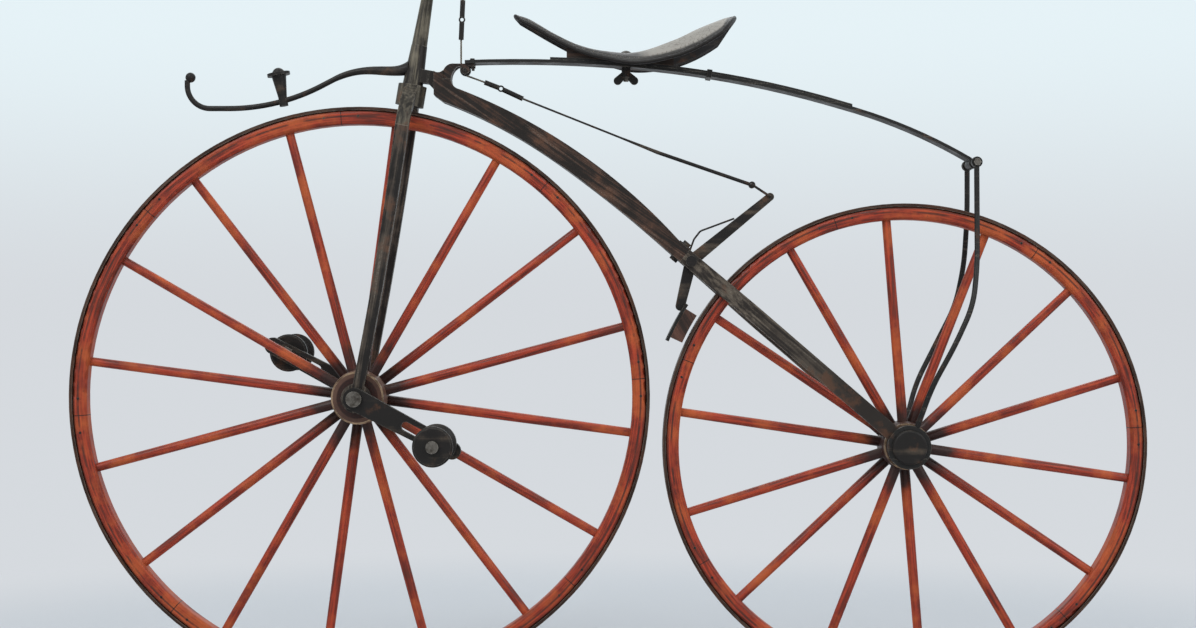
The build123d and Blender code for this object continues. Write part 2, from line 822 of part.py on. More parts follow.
with BuildPart() as stays:
    for side in (-1, 1):
        middle = leg_outer + stay_radius + leaf_seat
        points = [spot(shackle_station, side * stay_top_offset, shackle_height - 2 * shackle_bolt_radius)]
        points += [rear_hub + Vector(behind, side * offset, above) for behind, offset, above in stay_rows]
        points.append(rear_hub + Vector(12, side * middle, rear_eye_radius - 3))
        bends = [
            0.4 * min((b - a).length, (c - b).length) / tan(radians((b - a).get_angle(c - b)) / 2)
            for a, b, c in zip(points, points[1:], points[2:])
        ]
        with BuildLine():
            FilletPolyline(*points, radius=bends)
        with BuildSketch(between(points[0], points[1])):
            Circle(stay_radius)
        sweep()
        with BuildSketch(side_plane(side * leg_outer)):
            with Locations((rear_hub.X, rear_hub.Z)):
                Circle(rear_eye_radius + 1)
                Circle(axle_radius, mode=Mode.SUBTRACT)
        extrude(amount=-side * stay_eye_thickness)
        with BuildSketch(side_plane(side * (stay_top_offset - stay_radius))):
            with Locations(at(shackle_station, shackle_height)):
                Circle(2 * shackle_bolt_radius + 1.5)
        extrude(amount=-side * 2 * stay_radius)
        with BuildSketch(side_plane(side * (stay_top_offset - stay_radius))):
            with Locations(at(shackle_station, shackle_height)):
                Circle(shackle_bolt_radius)
        extrude(amount=-side * 2 * stay_radius, mode=Mode.SUBTRACT)
finish(stays, "stays")

shackle_head = 5.0
shackle_half = stay_top_offset + stay_radius
with BuildPart() as shackle_bolt:
    with BuildSketch(Plane.XZ):
        with Locations(at(shackle_station, shackle_height)):
            Circle(shackle_bolt_radius)
    extrude(amount=shackle_half + shackle_head, both=True)
    for side in (-1, 1):
        with BuildSketch(side_plane(side * shackle_half)):
            with Locations(at(shackle_station, shackle_height)):
                RegularPolygon(1.7 * shackle_bolt_radius, 6)
        extrude(amount=-side * shackle_head)
        with BuildSketch(side_plane(side * (leaf_half_width + leaf_seat))):
            with Locations(at(shackle_station, shackle_height)):
                Circle(1.6 * shackle_bolt_radius)
        extrude(amount=-side * (stay_top_offset - stay_radius - leaf_half_width - leaf_seat))
finish(shackle_bolt, "shackle_bolt")

# Saddle spring: a long flat leaf from the horn to the shackle, with a short leaf on top
leaf_front_station = 166.0
spring_front = head_at(leaf_front_station, -leaf_seat)
spring_seat = head_at(seat_station + 25.4, 9.1)
spring_shoulder = head_at(
    leaf_front_station + 0.7475 * (shackle_station - leaf_front_station),
    0.445 * (horn_top - shackle_height),
)
spring_end = at(shackle_station - 5.6, shackle_height + 3.9)
spring_arcs = [
    bowed(spring_front, spring_seat, 5.2),
    bowed(spring_seat, spring_shoulder, 7.4),
    bowed(spring_shoulder, spring_end, 6.95),
]


def spring_profile(thickness):
    """Draw the side view from the long leaf's lower face up to a thickness above it."""
    with BuildSketch(Plane.XZ) as profile:
        with BuildLine():
            add(spring_arcs)
            offset(amount=thickness, side=Side.LEFT)
        make_face()
    return profile.sketch


saddle_bolt_station = seat_station - saddle_bolt_advance
shackle_eye_radius = 2 * shackle_bolt_radius + 1
with BuildPart() as long_leaf:
    extrude(spring_profile(leaf_thickness), amount=leaf_half_width, both=True)
    with BuildSketch(Plane.XZ):
        with Locations(at(shackle_station, shackle_height)):
            Circle(shackle_eye_radius)
    extrude(amount=leaf_half_width, both=True)
    with BuildSketch(Plane.XZ):
        with Locations(at(shackle_station, shackle_height)):
            Circle(shackle_bolt_radius)
    extrude(amount=leaf_half_width, both=True, mode=Mode.SUBTRACT)
    with Locations(spot(saddle_bolt_station, 0, seat_height)):
        Cylinder(saddle_bolt_radius + bolt_clearance, 100, mode=Mode.SUBTRACT)
    for side in (-1, 1):
        with Locations(spot(spring_bolt_station, side * prong_middle, seat_height)):
            Cylinder(spring_bolt_radius + bolt_clearance, 100, mode=Mode.SUBTRACT)
finish(long_leaf, "long_spring_leaf")

short_leaf_start = seat_station - 135
short_leaf_end = seat_station + 340
short_leaf_low = leaf_thickness + leaf_seat
stack_thickness = short_leaf_low + short_leaf_thickness
with BuildPart() as short_leaf:
    extrude(spring_profile(stack_thickness), amount=leaf_half_width, both=True)
    extrude(spring_profile(short_leaf_low), amount=leaf_half_width, both=True, mode=Mode.SUBTRACT)
    with Locations(spot((short_leaf_start + short_leaf_end) / 2, 0, seat_height)):
        Box(short_leaf_end - short_leaf_start, 3 * leaf_half_width, seat_height, mode=Mode.INTERSECT)
    with Locations(spot(saddle_bolt_station, 0, seat_height)):
        Cylinder(saddle_bolt_radius + bolt_clearance, 100, mode=Mode.SUBTRACT)
finish(short_leaf, "short_spring_leaf")

# Spring fixings: a clip round both leaves, and the two small bolts on the horn's prongs
clip_share = 0.29
clip_width = 8.0
clip_wall = 2.2
clip_low = spring_arcs[1] @ clip_share
clip_run = spring_arcs[1] % clip_share
clip_centre = clip_low + Vector(-clip_run.Y, clip_run.X) * (stack_thickness / 2)
clip_place = Plane(
    origin=(clip_centre.X, 0, clip_centre.Y), x_dir=(0, 1, 0), z_dir=(clip_run.X, 0, clip_run.Y)
)
spring_bolt_head = 3.0
with BuildPart() as spring_fixings:
    with BuildSketch(clip_place):
        Rectangle(2 * (leaf_half_width + clip_wall), stack_thickness + 2 * clip_wall)
        Rectangle(2 * (leaf_half_width + leaf_seat), stack_thickness + 4 * leaf_seat, mode=Mode.SUBTRACT)
    extrude(amount=clip_width / 2, both=True)
    for side in (-1, 1):
        head_low = horn_top + leaf_seat + leaf_thickness + leaf_seat
        with BuildSketch(Plane.XY.offset(head_low - seat_height)):
            with Locations((spring_bolt_station - seat_station, side * prong_middle)):
                Circle(1.6 * spring_bolt_radius)
        extrude(amount=spring_bolt_head)
        with BuildSketch(Plane.XY.offset(prong_bottom - 4 - seat_height)):
            with Locations((spring_bolt_station - seat_station, side * prong_middle)):
                Circle(spring_bolt_radius)
        extrude(amount=head_low - prong_bottom + 4)
    add(long_leaf.part, mode=Mode.SUBTRACT)
finish(spring_fixings, "spring_fixings")

# Saddle: a crowned leather seat, narrow at its nose and broad at its tail
saddle_rim = 5.0
saddle_rows = [
    # distance behind the low point, height of the ridge above it, half width, droop of the
    # flanks, half width of the flat ridge
    (-190.0, 61.5, 17.0, 4.0, 6.0),
    (-167.3, 52.8, 26.0, 7.5, 12.0),
    (-129.4, 30.5, 28.0, 7.0, 16.5),
    (-91.5, 12.5, 31.0, 8.0, 17.5),
    (-53.6, 3.0, 39.0, 10.0, 18.5),
    (0.0, 0.0, 58.0, 17.5, 20.0),
    (60.2, 19.0, 75.0, 28.0, 22.0),
    (98.1, 36.5, 82.0, 31.0, 24.0),
    (136.0, 51.5, 82.0, 23.0, 26.0),
    (155.0, 56.0, 66.0, 12.0, 24.0),
]


def make_saddle(underside):
    """Make the saddle's shell, with its underside at a depth below the ridge."""
    with BuildPart() as shell:
        for behind, ridge, half_width, droop, flat in saddle_rows:
            curve = flat + 0.6 * (half_width - flat)
            rim_low = droop + underside + saddle_rim - saddle_thickness
            rim_inner = half_width - 1.5
            curve_low = underside + 0.36 * (rim_low - underside)
            with BuildSketch(section_plane((behind, 0, ridge))):
                with BuildLine():
                    ThreePointArc((-half_width, -droop), (-curve, -0.36 * droop), (-flat, 0))
                    Line((-flat, 0), (flat, 0))
                    ThreePointArc((flat, 0), (curve, -0.36 * droop), (half_width, -droop))
                    Line((half_width, -droop), (rim_inner, -rim_low))
                    ThreePointArc((rim_inner, -rim_low), (curve, -curve_low), (flat, -underside))
                    Line((flat, -underside), (-flat, -underside))
                    ThreePointArc((-flat, -underside), (-curve, -curve_low), (-rim_inner, -rim_low))
                    Line((-rim_inner, -rim_low), (-half_width, -droop))
                make_face()
        loft()
    return shell.part


saddle_bore = saddle_bolt_radius + bolt_clearance
with BuildPart() as saddle:
    add(make_saddle(saddle_thickness))
    with Locations(spot(saddle_bolt_station, 0, seat_height)):
        Cylinder(saddle_bore, 100, mode=Mode.SUBTRACT)
finish(saddle, "saddle")

# Wooden block between the spring and the saddle
block_front = -109.0
block_rear = 59.0
block_front_top = 14.0
block_rear_top = 15.5
with BuildPart() as saddle_block:
    with BuildSketch(Plane.XZ):
        with BuildLine():
            Polyline(
                (block_front, -11),
                (block_front, block_front_top),
                (-91.5, 8),
                (-53.6, 0),
                (0, -3),
                (block_rear, block_rear_top),
                (block_rear, -25),
                close=True,
            )
        make_face()
    extrude(amount=leaf_half_width, both=True)
    extrude(
        spring_profile(stack_thickness + leaf_seat), amount=2 * leaf_half_width, both=True, mode=Mode.SUBTRACT
    )
    add(make_saddle(saddle_thickness + leaf_seat), mode=Mode.SUBTRACT)
    with Locations(spot(saddle_bolt_station, 0, seat_height)):
        Cylinder(saddle_bore, 100, mode=Mode.SUBTRACT)
finish(saddle_block, "saddle_block")

# Saddle bolt with a round head, and the wing nut that holds it below the spring
bolt_head_radius = 8.0
bolt_head_top = 5.0
bolt_head_edge = 2.0
bolt_low = -44.0
with BuildPart() as saddle_bolt:
    with BuildSketch(Plane.XZ):
        with BuildLine():
            Polyline(
                (-saddle_bolt_advance, bolt_low),
                (-saddle_bolt_advance + saddle_bolt_radius, bolt_low),
                (-saddle_bolt_advance + saddle_bolt_radius, -3),
                (-saddle_bolt_advance + bolt_head_radius, -3),
                (-saddle_bolt_advance + bolt_head_radius, bolt_head_edge),
            )
            TangentArc(
                (-saddle_bolt_advance, bolt_head_top),
                (-saddle_bolt_advance + bolt_head_radius, bolt_head_edge),
                tangent=(1, 0),
            )
            Line((-saddle_bolt_advance, bolt_head_top), (-saddle_bolt_advance, bolt_low))
        make_face()
    revolve(axis=Axis((-saddle_bolt_advance, 0, bolt_low), (0, 0, 1)))
    add(saddle.part, mode=Mode.SUBTRACT)
finish(saddle_bolt, "saddle_bolt")

wing_radius = 6.4
wing_reach = 13.0
wing_height = -42.7
hub_radius = 7.0
hub_low = -37.0
hub_middle = -32.0
hub_top = -20.0
wing_half_thickness = 2.0
with BuildPart() as wing_nut:
    with BuildSketch(Plane.XY.offset(hub_low)):
        with Locations((-saddle_bolt_advance, 0)):
            Circle(hub_radius)
    extrude(amount=hub_top - hub_low)
    for side in (-1, 1):
        with BuildSketch(Plane.XZ):
            with Locations((-saddle_bolt_advance + side * wing_reach, wing_height)):
                Circle(wing_radius)
            with Locations((-saddle_bolt_advance + side * 2, hub_middle)):
                Circle(hub_radius - 2)
            make_hull()
        extrude(amount=wing_half_thickness, both=True)
    with Locations(spot(saddle_bolt_station, 0, seat_height)):
        Cylinder(saddle_bore, 110, mode=Mode.SUBTRACT)
    add(long_leaf.part, mode=Mode.SUBTRACT)
finish(wing_nut, "wing_nut")

# Leg rest: a forged rod from the head socket, curled up into a ball at its end
rest_radius = 4.3
rest_drop = 69.4
rest_front = -273.5
rest_bend = head_spot(-130.0, rest_drop)
rest_start = head_spot(-42.0, 23.6)
rest_rows = [
    # station, depth below the horn's top, radius and forward slope of each round section
    (76.0, 5.0, 11.5, 0.0),
    (60.0, 9.6, 8.2, 0.08),
    (38.6, 9.9, 7.2, -0.05),
    (10.1, 9.6, 6.0, 0.08),
    (-23.1, 15.8, 5.0, 0.32),
]
rest_curve_radius = 318.0
rest_curl_radius = 36.0
rest_ball = head_spot(-268.5, 20.5)
rest_ball_radius = 8.0
with BuildPart() as leg_rest:
    for station, drop, radius, slope in rest_rows:
        with BuildSketch(Plane(origin=head_spot(station, drop), x_dir=(0, 1, 0), z_dir=(-1, 0, -slope))):
            Circle(radius)
    with BuildSketch(Plane(origin=rest_start, x_dir=(0, 1, 0), z_dir=rest_bend - rest_start)):
        Circle(rest_radius)
    loft()
    with BuildLine():
        FilletPolyline(
            rest_start,
            rest_bend,
            head_spot(rest_front, rest_drop),
            head_spot(rest_front, 25),
            radius=[rest_curve_radius, rest_curl_radius],
        )
    with BuildSketch(Plane(origin=rest_start, x_dir=(0, 1, 0), z_dir=rest_bend - rest_start)):
        Circle(rest_radius)
    sweep()
    with Locations(rest_ball):
        Sphere(rest_ball_radius)
    with Locations(Location(steering_level(sleeve_low))):
        Cone(
            sleeve_radius_low,
            sleeve_radius_high,
            sleeve_length,
            align=(Align.CENTER, Align.CENTER, Align.MIN),
            mode=Mode.SUBTRACT,
        )
finish(leg_rest, "leg_rest")

# Lamp bracket: a flared post on the leg rest, with a flange and a domed top
lamp_foot = head_spot(-122.0, 57.5)
lamp_top = head_spot(-128.9, 17.6)
lamp_foot_radius = 6.9
lamp_neck_radius = 11.5
lamp_flange_radius = 18.0
lamp_flange_thickness = 4.7
lamp_dome_radius = 10.0
lamp_dome_height = 8.0
lamp_height = (lamp_top - lamp_foot).length
lamp_place = Plane(origin=lamp_foot, x_dir=(0, 1, 0), z_dir=lamp_top - lamp_foot)
rest_slope = 0.28
with BuildPart() as lamp_bracket:
    with BuildSketch(Plane(origin=lamp_foot, x_dir=(0, 1, 0), z_dir=lamp_place.y_dir * -1)):
        with BuildLine():
            Polyline(
                (0, -1.2 * lamp_foot_radius),
                (lamp_foot_radius, -1.2 * lamp_foot_radius),
                (lamp_foot_radius, lamp_foot_radius),
                (lamp_neck_radius, lamp_height),
                (lamp_flange_radius, lamp_height),
                (lamp_flange_radius, lamp_height + lamp_flange_thickness),
                (lamp_dome_radius, lamp_height + lamp_flange_thickness),
            )
            TangentArc(
                (0, lamp_height + lamp_flange_thickness + lamp_dome_height),
                (lamp_dome_radius, lamp_height + lamp_flange_thickness),
                tangent=(1, 0),
            )
            Line(
                (0, lamp_height + lamp_flange_thickness + lamp_dome_height),
                (0, -1.2 * lamp_foot_radius),
            )
        make_face()
    revolve(axis=Axis(lamp_foot, lamp_top - lamp_foot))
    with Locations(Location(Plane(origin=lamp_foot, z_dir=(1, 0, rest_slope)))):
        Cylinder(rest_radius + 2 * bolt_clearance, 6 * lamp_foot_radius, mode=Mode.SUBTRACT)
finish(lamp_bracket, "lamp_bracket")

# Brake: a lever between the legs, with a curved shoe and a wooden block ahead of the rear tyre
lever_pivot = spot(lever_pivot_station, 0, lever_pivot_height)
lever_eye = lever_pivot + Vector(124.8, 0, 101.9)
lever_eye_radius = 6.3
lever_boss_radius = 9.5
lever_foot_radius = 7.5
block_inner_radius = rear_wheel_radius + brake_gap
block_thickness = 20.0
block_half_width = 17.0
shoe_thickness = 5.0
shoe_low_angle = 148.0
shoe_high_angle = 155.2
link_radius = 2.0
link_hole_radius = 2.3
shoe_inner_radius = block_inner_radius + block_thickness + leaf_seat
shoe_outer_radius = shoe_inner_radius + shoe_thickness
lever_foot_angle = radians(shoe_low_angle + 0.1)
lever_foot = rear_hub + Vector(cos(lever_foot_angle), 0, sin(lever_foot_angle)) * (shoe_outer_radius + 4.3)


def hub_arc(radius, start_angle, end_angle):
    """Draw an arc about the rear hub, from one angle to another."""
    angles = [radians(start_angle), radians((start_angle + end_angle) / 2), radians(end_angle)]
    points = [(rear_hub.X + radius * cos(angle), rear_hub.Z + radius * sin(angle)) for angle in angles]
    return ThreePointArc(*points)


def hub_sector(inner_radius, outer_radius, start_angle, end_angle):
    """Draw the sector between two radii and two angles about the rear hub."""
    with BuildSketch(Plane.XZ) as sector:
        with BuildLine():
            inner_arc = hub_arc(inner_radius, start_angle, end_angle)
            outer_arc = hub_arc(outer_radius, start_angle, end_angle)
            Line(inner_arc @ 0, outer_arc @ 0)
            Line(inner_arc @ 1, outer_arc @ 1)
        make_face()
    return sector.sketch


with BuildPart() as brake_lever:
    with BuildSketch(Plane.XZ):
        with Locations(at(lever_pivot_station, lever_pivot_height)):
            Circle(lever_boss_radius)
        with Locations((lever_eye.X, lever_eye.Z)):
            Circle(lever_eye_radius)
        make_hull()
    extrude(amount=lever_half_thickness, both=True)
    with BuildSketch(Plane.XZ):
        with Locations(at(lever_pivot_station, lever_pivot_height)):
            Circle(lever_boss_radius)
        with Locations((lever_foot.X, lever_foot.Z)):
            Circle(lever_foot_radius)
        make_hull()
    extrude(amount=lever_half_thickness, both=True)
    shoe = hub_sector(shoe_inner_radius, shoe_outer_radius, shoe_low_angle - 1, shoe_high_angle + 1)
    extrude(shoe, amount=block_half_width, both=True)
    shoe_space = hub_sector(block_inner_radius, shoe_inner_radius, shoe_low_angle - 2, shoe_high_angle + 2)
    extrude(shoe_space, amount=2 * block_half_width, both=True, mode=Mode.SUBTRACT)
    with BuildSketch(Plane.XZ):
        with Locations(at(lever_pivot_station, lever_pivot_height)):
            Circle(pivot_radius + bolt_clearance)
        with Locations((lever_eye.X, lever_eye.Z)):
            Circle(link_hole_radius)
    extrude(amount=2 * lever_half_thickness, both=True, mode=Mode.SUBTRACT)
finish(brake_lever, "brake_lever")

with BuildPart() as brake_block:
    block_outer_radius = block_inner_radius + block_thickness
    block = hub_sector(block_inner_radius, block_outer_radius, shoe_low_angle, shoe_high_angle)
    extrude(block, amount=block_half_width, both=True)
finish(brake_block, "brake_block")

# Leg bolts: the pivot of the brake lever, and the bolt that clamps the backbone's end
pivot_half = backbone_half_width + leaf_seat
pivot_head_radius = 9.0
pivot_head = 5.0
clamp_head_radius = 6.5
clamp_head = 5.0
clamp_half = leg_depth / 2
spring_foot_thickness = 2.0
clamp_head_low = clamp_half + spring_foot_thickness + 2 * leaf_seat
with BuildPart() as leg_bolts:
    with BuildSketch(Plane.XZ):
        with Locations(at(lever_pivot_station, lever_pivot_height)):
            Circle(pivot_radius)
    extrude(amount=pivot_half + pivot_head, both=True)
    for side in (-1, 1):
        with BuildSketch(side_plane(side * pivot_half)):
            with Locations(at(lever_pivot_station, lever_pivot_height)):
                Circle(pivot_head_radius)
        extrude(amount=-side * pivot_head)
    with BuildSketch(clamp_place):
        Circle(clamp_bolt_radius)
    extrude(amount=clamp_head_low + clamp_head)
    with BuildSketch(clamp_place):
        Circle(clamp_bolt_radius)
    extrude(amount=-clamp_half - clamp_head)
    with BuildSketch(clamp_place.offset(clamp_head_low)):
        Circle(clamp_head_radius)
    extrude(amount=clamp_head)
    with BuildSketch(clamp_place.offset(-clamp_half - leaf_seat)):
        RegularPolygon(1.2 * clamp_head_radius, 6)
    extrude(amount=-clamp_head)
finish(leg_bolts, "leg_bolts")

# Return spring: a foot under the clamp bolt's head, and a wire that presses on the lever
spring_foot_radius = 11.5
spring_wire_radius = 1.5
clamp_normal = clamp_place.z_dir
wire_start = clamp_centre + clamp_normal * (clamp_half + 1.2) + leg_direction * 10
lever_run = (lever_eye - lever_pivot).normalized()
lever_up = Vector(-lever_run.Z, 0, lever_run.X)
wire_end = lever_pivot + lever_run * 96 + lever_up * 9.2
wire_bend = wire_start + Vector(6.0, 0, 16.3)
wire_shoulder = wire_start + Vector(16.0, 0, 29.3)
with BuildPart() as return_spring:
    with BuildSketch(clamp_place.offset(clamp_half + leaf_seat)):
        Circle(spring_foot_radius)
        Circle(clamp_bolt_radius + bolt_clearance, mode=Mode.SUBTRACT)
    extrude(amount=spring_foot_thickness)
    with BuildLine():
        FilletPolyline(wire_start, wire_bend, wire_shoulder, wire_end, radius=[8, 10])
    with BuildSketch(between(wire_start, wire_bend)):
        Circle(spring_wire_radius)
    sweep()
finish(return_spring, "return_spring")

# Brake rod: a wire that thickens into a rod with an eye, linked to the lever
rod_front = head_spot(257.0, 54.2)
rod_eye = lever_eye + Vector(-28.4, 0, 18.9)
rod_thick = rod_eye + Vector(-148.4, 0, 51.2)
rod_bend = rod_front + (rod_thick - rod_front) * 0.718
rod_eye_radius = 5.5
rod_eye_half = 3.0
with BuildPart() as brake_rod:
    with Locations(Location(between(rod_front, rod_bend))):
        Cylinder(
            rod_radius_front,
            (rod_bend - rod_front).length + 1,
            align=(Align.CENTER, Align.CENTER, Align.MIN),
        )
    with Locations(Location(between(rod_bend, rod_thick))):
        Cone(
            rod_radius_front,
            rod_radius_rear,
            (rod_thick - rod_bend).length + 1,
            align=(Align.CENTER, Align.CENTER, Align.MIN),
        )
    with Locations(Location(between(rod_thick, rod_eye))):
        Cylinder(
            0.98 * rod_radius_rear,
            (rod_eye - rod_thick).length,
            align=(Align.CENTER, Align.CENTER, Align.MIN),
        )
    with BuildSketch(Plane.XZ):
        with Locations((rod_eye.X, rod_eye.Z)):
            Circle(rod_eye_radius)
    extrude(amount=rod_eye_half, both=True)
    with BuildSketch(Plane.XZ):
        with Locations((rod_eye.X, rod_eye.Z)):
            Circle(link_hole_radius)
    extrude(amount=2 * rod_eye_half, both=True, mode=Mode.SUBTRACT)
finish(brake_rod, "brake_rod")

link_reach = lever_half_thickness + link_radius + 1
link_across = Vector(0, link_reach, 0)
with BuildPart() as brake_link:
    with BuildLine():
        FilletPolyline(
            rod_eye + link_across,
            rod_eye - link_across,
            lever_eye - link_across,
            lever_eye + link_across,
            radius=3,
        )
    with BuildSketch(between(rod_eye + link_across, rod_eye)):
        Circle(link_radius)
    sweep()
finish(brake_link, "brake_link")

# Brake cord: from the upper hooks round the pulley to the slanted hooks
wrap_radius = groove_radius + cord_radius + 0.05
cord_end_slope = 20.0
cord_high = head_spot(pulley_station - wrap_radius, -38.9)
wrap_end = radians(270 - cord_end_slope)
cord_leave = pulley_centre + Vector(cos(wrap_end), 0, sin(wrap_end)) * wrap_radius
cord_reach = 196.0 - (pulley_station + wrap_radius * cos(wrap_end))
cord_low = cord_leave + Vector(1, 0, -tan(radians(cord_end_slope))) * cord_reach
cord_corner = Vector(
    cord_high.X, 0, cord_leave.Z + (cord_leave.X - cord_high.X) * tan(radians(cord_end_slope))
)
with BuildPart() as brake_cord:
    with BuildLine():
        FilletPolyline(cord_high, cord_corner, cord_low, radius=wrap_radius)
    with BuildSketch(between(cord_high, cord_corner)):
        Circle(cord_radius)
    sweep()
finish(brake_cord, "brake_cord")

# Cord hooks: two pairs of barrels, each pair joined by a ring
hook_radius = 4.0
hook_gap = 0.4
ring_wire_radius = 1.3
ring_radius = 4.0
upper_cord_low = head_spot(161.8, -102.0)
hook_pairs = [
    # start of the first barrel, ring, end of the second barrel
    (cord_low, head_spot(222.0, 38.0), rod_front),
    (cord_high, head_spot(160.4, -71.0), upper_cord_low),
]
with BuildPart() as cord_hooks:
    for start, ring, end in hook_pairs:
        for tip in (start, end):
            barrel_end = tip + (ring - tip).normalized() * hook_gap
            with Locations(Location(between(barrel_end, ring))):
                Cylinder(
                    hook_radius,
                    (ring - barrel_end).length - ring_radius,
                    align=(Align.CENTER, Align.CENTER, Align.MIN),
                )
        with Locations(Location(Plane(origin=ring, x_dir=(1, 0, 0), z_dir=(0, -1, 0)))):
            Torus(ring_radius, ring_wire_radius)
finish(cord_hooks, "cord_hooks")

# Upper brake cord: from the upper hooks to just under the eye of the winding yoke
yoke_eye = bar_centre + Vector(winding_reach, 0, 0)
upper_cord_high = yoke_eye - Vector(0, 0, yoke_half_height + 1.5 + crown_gap)
with BuildPart() as upper_cord:
    with Locations(Location(between(upper_cord_low, upper_cord_high))):
        Cylinder(
            cord_radius,
            (upper_cord_high - upper_cord_low).length - 0.2,
            align=(Align.CENTER, Align.CENTER, Align.MIN),
        )
finish(upper_cord, "upper_brake_cord")
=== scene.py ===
import json
import random
from math import cos, pi, radians, sin, tan

import bpy
from mathutils import Matrix, Vector


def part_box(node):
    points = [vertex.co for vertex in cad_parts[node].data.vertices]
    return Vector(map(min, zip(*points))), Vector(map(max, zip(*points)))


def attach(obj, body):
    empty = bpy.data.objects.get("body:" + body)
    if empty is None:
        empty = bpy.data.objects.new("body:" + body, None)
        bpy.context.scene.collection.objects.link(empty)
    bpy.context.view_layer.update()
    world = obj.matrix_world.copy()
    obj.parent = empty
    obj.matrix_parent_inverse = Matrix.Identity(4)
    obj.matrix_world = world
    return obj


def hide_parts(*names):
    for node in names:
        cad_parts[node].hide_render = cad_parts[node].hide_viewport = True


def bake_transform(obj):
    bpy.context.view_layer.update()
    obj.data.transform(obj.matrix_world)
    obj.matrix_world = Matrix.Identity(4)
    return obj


# Boneshaker velocipede of about 1869, in metres, at rest and steered straight.
# It faces -X, so -Y is its left side, and +Z is up. The origin is on the saddle.

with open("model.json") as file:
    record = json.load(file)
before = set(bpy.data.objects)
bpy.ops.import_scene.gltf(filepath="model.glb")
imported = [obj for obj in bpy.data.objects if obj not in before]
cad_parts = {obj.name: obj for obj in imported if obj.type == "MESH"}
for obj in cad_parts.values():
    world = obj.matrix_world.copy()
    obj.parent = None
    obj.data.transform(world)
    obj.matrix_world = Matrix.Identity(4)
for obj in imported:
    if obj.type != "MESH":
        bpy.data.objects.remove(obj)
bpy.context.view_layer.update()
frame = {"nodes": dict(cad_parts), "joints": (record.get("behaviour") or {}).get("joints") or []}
nodes = frame["nodes"]
joint_places = {joint["name"]: Vector(joint["pos_m"]) for joint in frame["joints"]}

FRONT_HUB = joint_places["front_wheel_spin"]
REAR_HUB = joint_places["rear_wheel_spin"]
FRONT_RADIUS = 0.457
REAR_RADIUS = 0.381
TYRE_THICKNESS = 0.005
RIM_HALF_WIDTH = 0.016
FLOOR_HEIGHT = FRONT_HUB.z - FRONT_RADIUS
HEAD_ANGLE = radians(9.53)
LEG_ANGLE = radians(40.8)

# Black of the soot near the hubs, which also serves as painted shade where the spokes crowd together
SOOT_AND_SHADE_BLACK = (0.017, 0.009, 0.007, 1)


# Node helpers

def node(tree, kind, inputs=None, **settings):
    """Add a shader node, with its settings, and its inputs as values or as sockets to link."""
    made = tree.nodes.new(kind)
    for name, value in settings.items():
        setattr(made, name, value)
    for name, value in (inputs or {}).items():
        if isinstance(value, bpy.types.NodeSocket):
            tree.links.new(value, made.inputs[name])
        else:
            made.inputs[name].default_value = value
    return made


def maths(tree, operation, first, second=0.0, third=0.0):
    """Add a Math node and give its result."""
    inputs = {0: first, 1: second, 2: third}
    return node(tree, "ShaderNodeMath", inputs, operation=operation).outputs[0]


def vector_maths(tree, operation, first, second=(0, 0, 0)):
    """Add a Vector Math node and give its vector."""
    return node(tree, "ShaderNodeVectorMath", {0: first, 1: second}, operation=operation).outputs[0]


def rise(tree, value, low, high, start=0.0, end=1.0):
    """Give a smooth change from start to end as a value goes from low to high."""
    inputs = {"Value": value, "From Min": low, "From Max": high, "To Min": start, "To Max": end}
    return node(tree, "ShaderNodeMapRange", inputs, interpolation_type="SMOOTHSTEP").outputs["Result"]


def blend(tree, share, first, second):
    """Give the mix of two colours by a share."""
    return node(tree, "ShaderNodeMix", {0: share, 6: first, 7: second}, data_type="RGBA").outputs[2]


def noise(tree, vector, scale, detail=4.0, roughness=0.55, across=None):
    """Give the value of a noise, which may have a fourth coordinate."""
    inputs = {"Vector": vector, "Scale": scale, "Detail": detail, "Roughness": roughness}
    if across is None:
        return node(tree, "ShaderNodeTexNoise", inputs).outputs["Fac"]
    inputs["W"] = across
    return node(tree, "ShaderNodeTexNoise", inputs, noise_dimensions="4D").outputs["Fac"]


def new_group(name, inputs, outputs):
    """Start a node group with named inputs and outputs, and give its tree and its two ends."""
    tree = bpy.data.node_groups.new(name, "ShaderNodeTree")
    for socket_name, kind, value in inputs:
        socket = tree.interface.new_socket(socket_name, in_out="INPUT", socket_type=kind)
        socket.default_value = value
    for socket_name, kind in outputs:
        tree.interface.new_socket(socket_name, in_out="OUTPUT", socket_type=kind)
    return tree, tree.nodes.new("NodeGroupInput"), tree.nodes.new("NodeGroupOutput")


FLOAT = "NodeSocketFloat"
VECTOR = "NodeSocketVector"


def make_edge_group():
    """Find the corners of a shape, broken up by a noise."""
    tree, start, end = new_group(
        "edge_wear",
        [("Position", VECTOR, (0, 0, 0)), ("Width", FLOAT, 0.002), ("Breakup", FLOAT, 90.0)],
        [("Edge", FLOAT)],
    )
    rounded = node(tree, "ShaderNodeBevel", {"Radius": start.outputs["Width"]}, samples=4)
    facing = node(tree, "ShaderNodeNewGeometry").outputs["Normal"]
    inputs = {0: rounded.outputs[0], 1: facing}
    alike = node(tree, "ShaderNodeVectorMath", inputs, operation="DOT_PRODUCT").outputs["Value"]
    corner = rise(tree, alike, 0.99, 0.82)
    worn = rise(tree, noise(tree, start.outputs["Position"], start.outputs["Breakup"]), 0.36, 0.6)
    tree.links.new(maths(tree, "MULTIPLY", corner, worn), end.inputs["Edge"])
    return tree


# How close the grain's lines lie: along the grain, across it on a rim and on a spoke, and over the width
ALONG_GRAIN = 9.0
ACROSS_RIM = 420.0
ACROSS_SPOKE = 70.0
OVER_WIDTH = 260.0


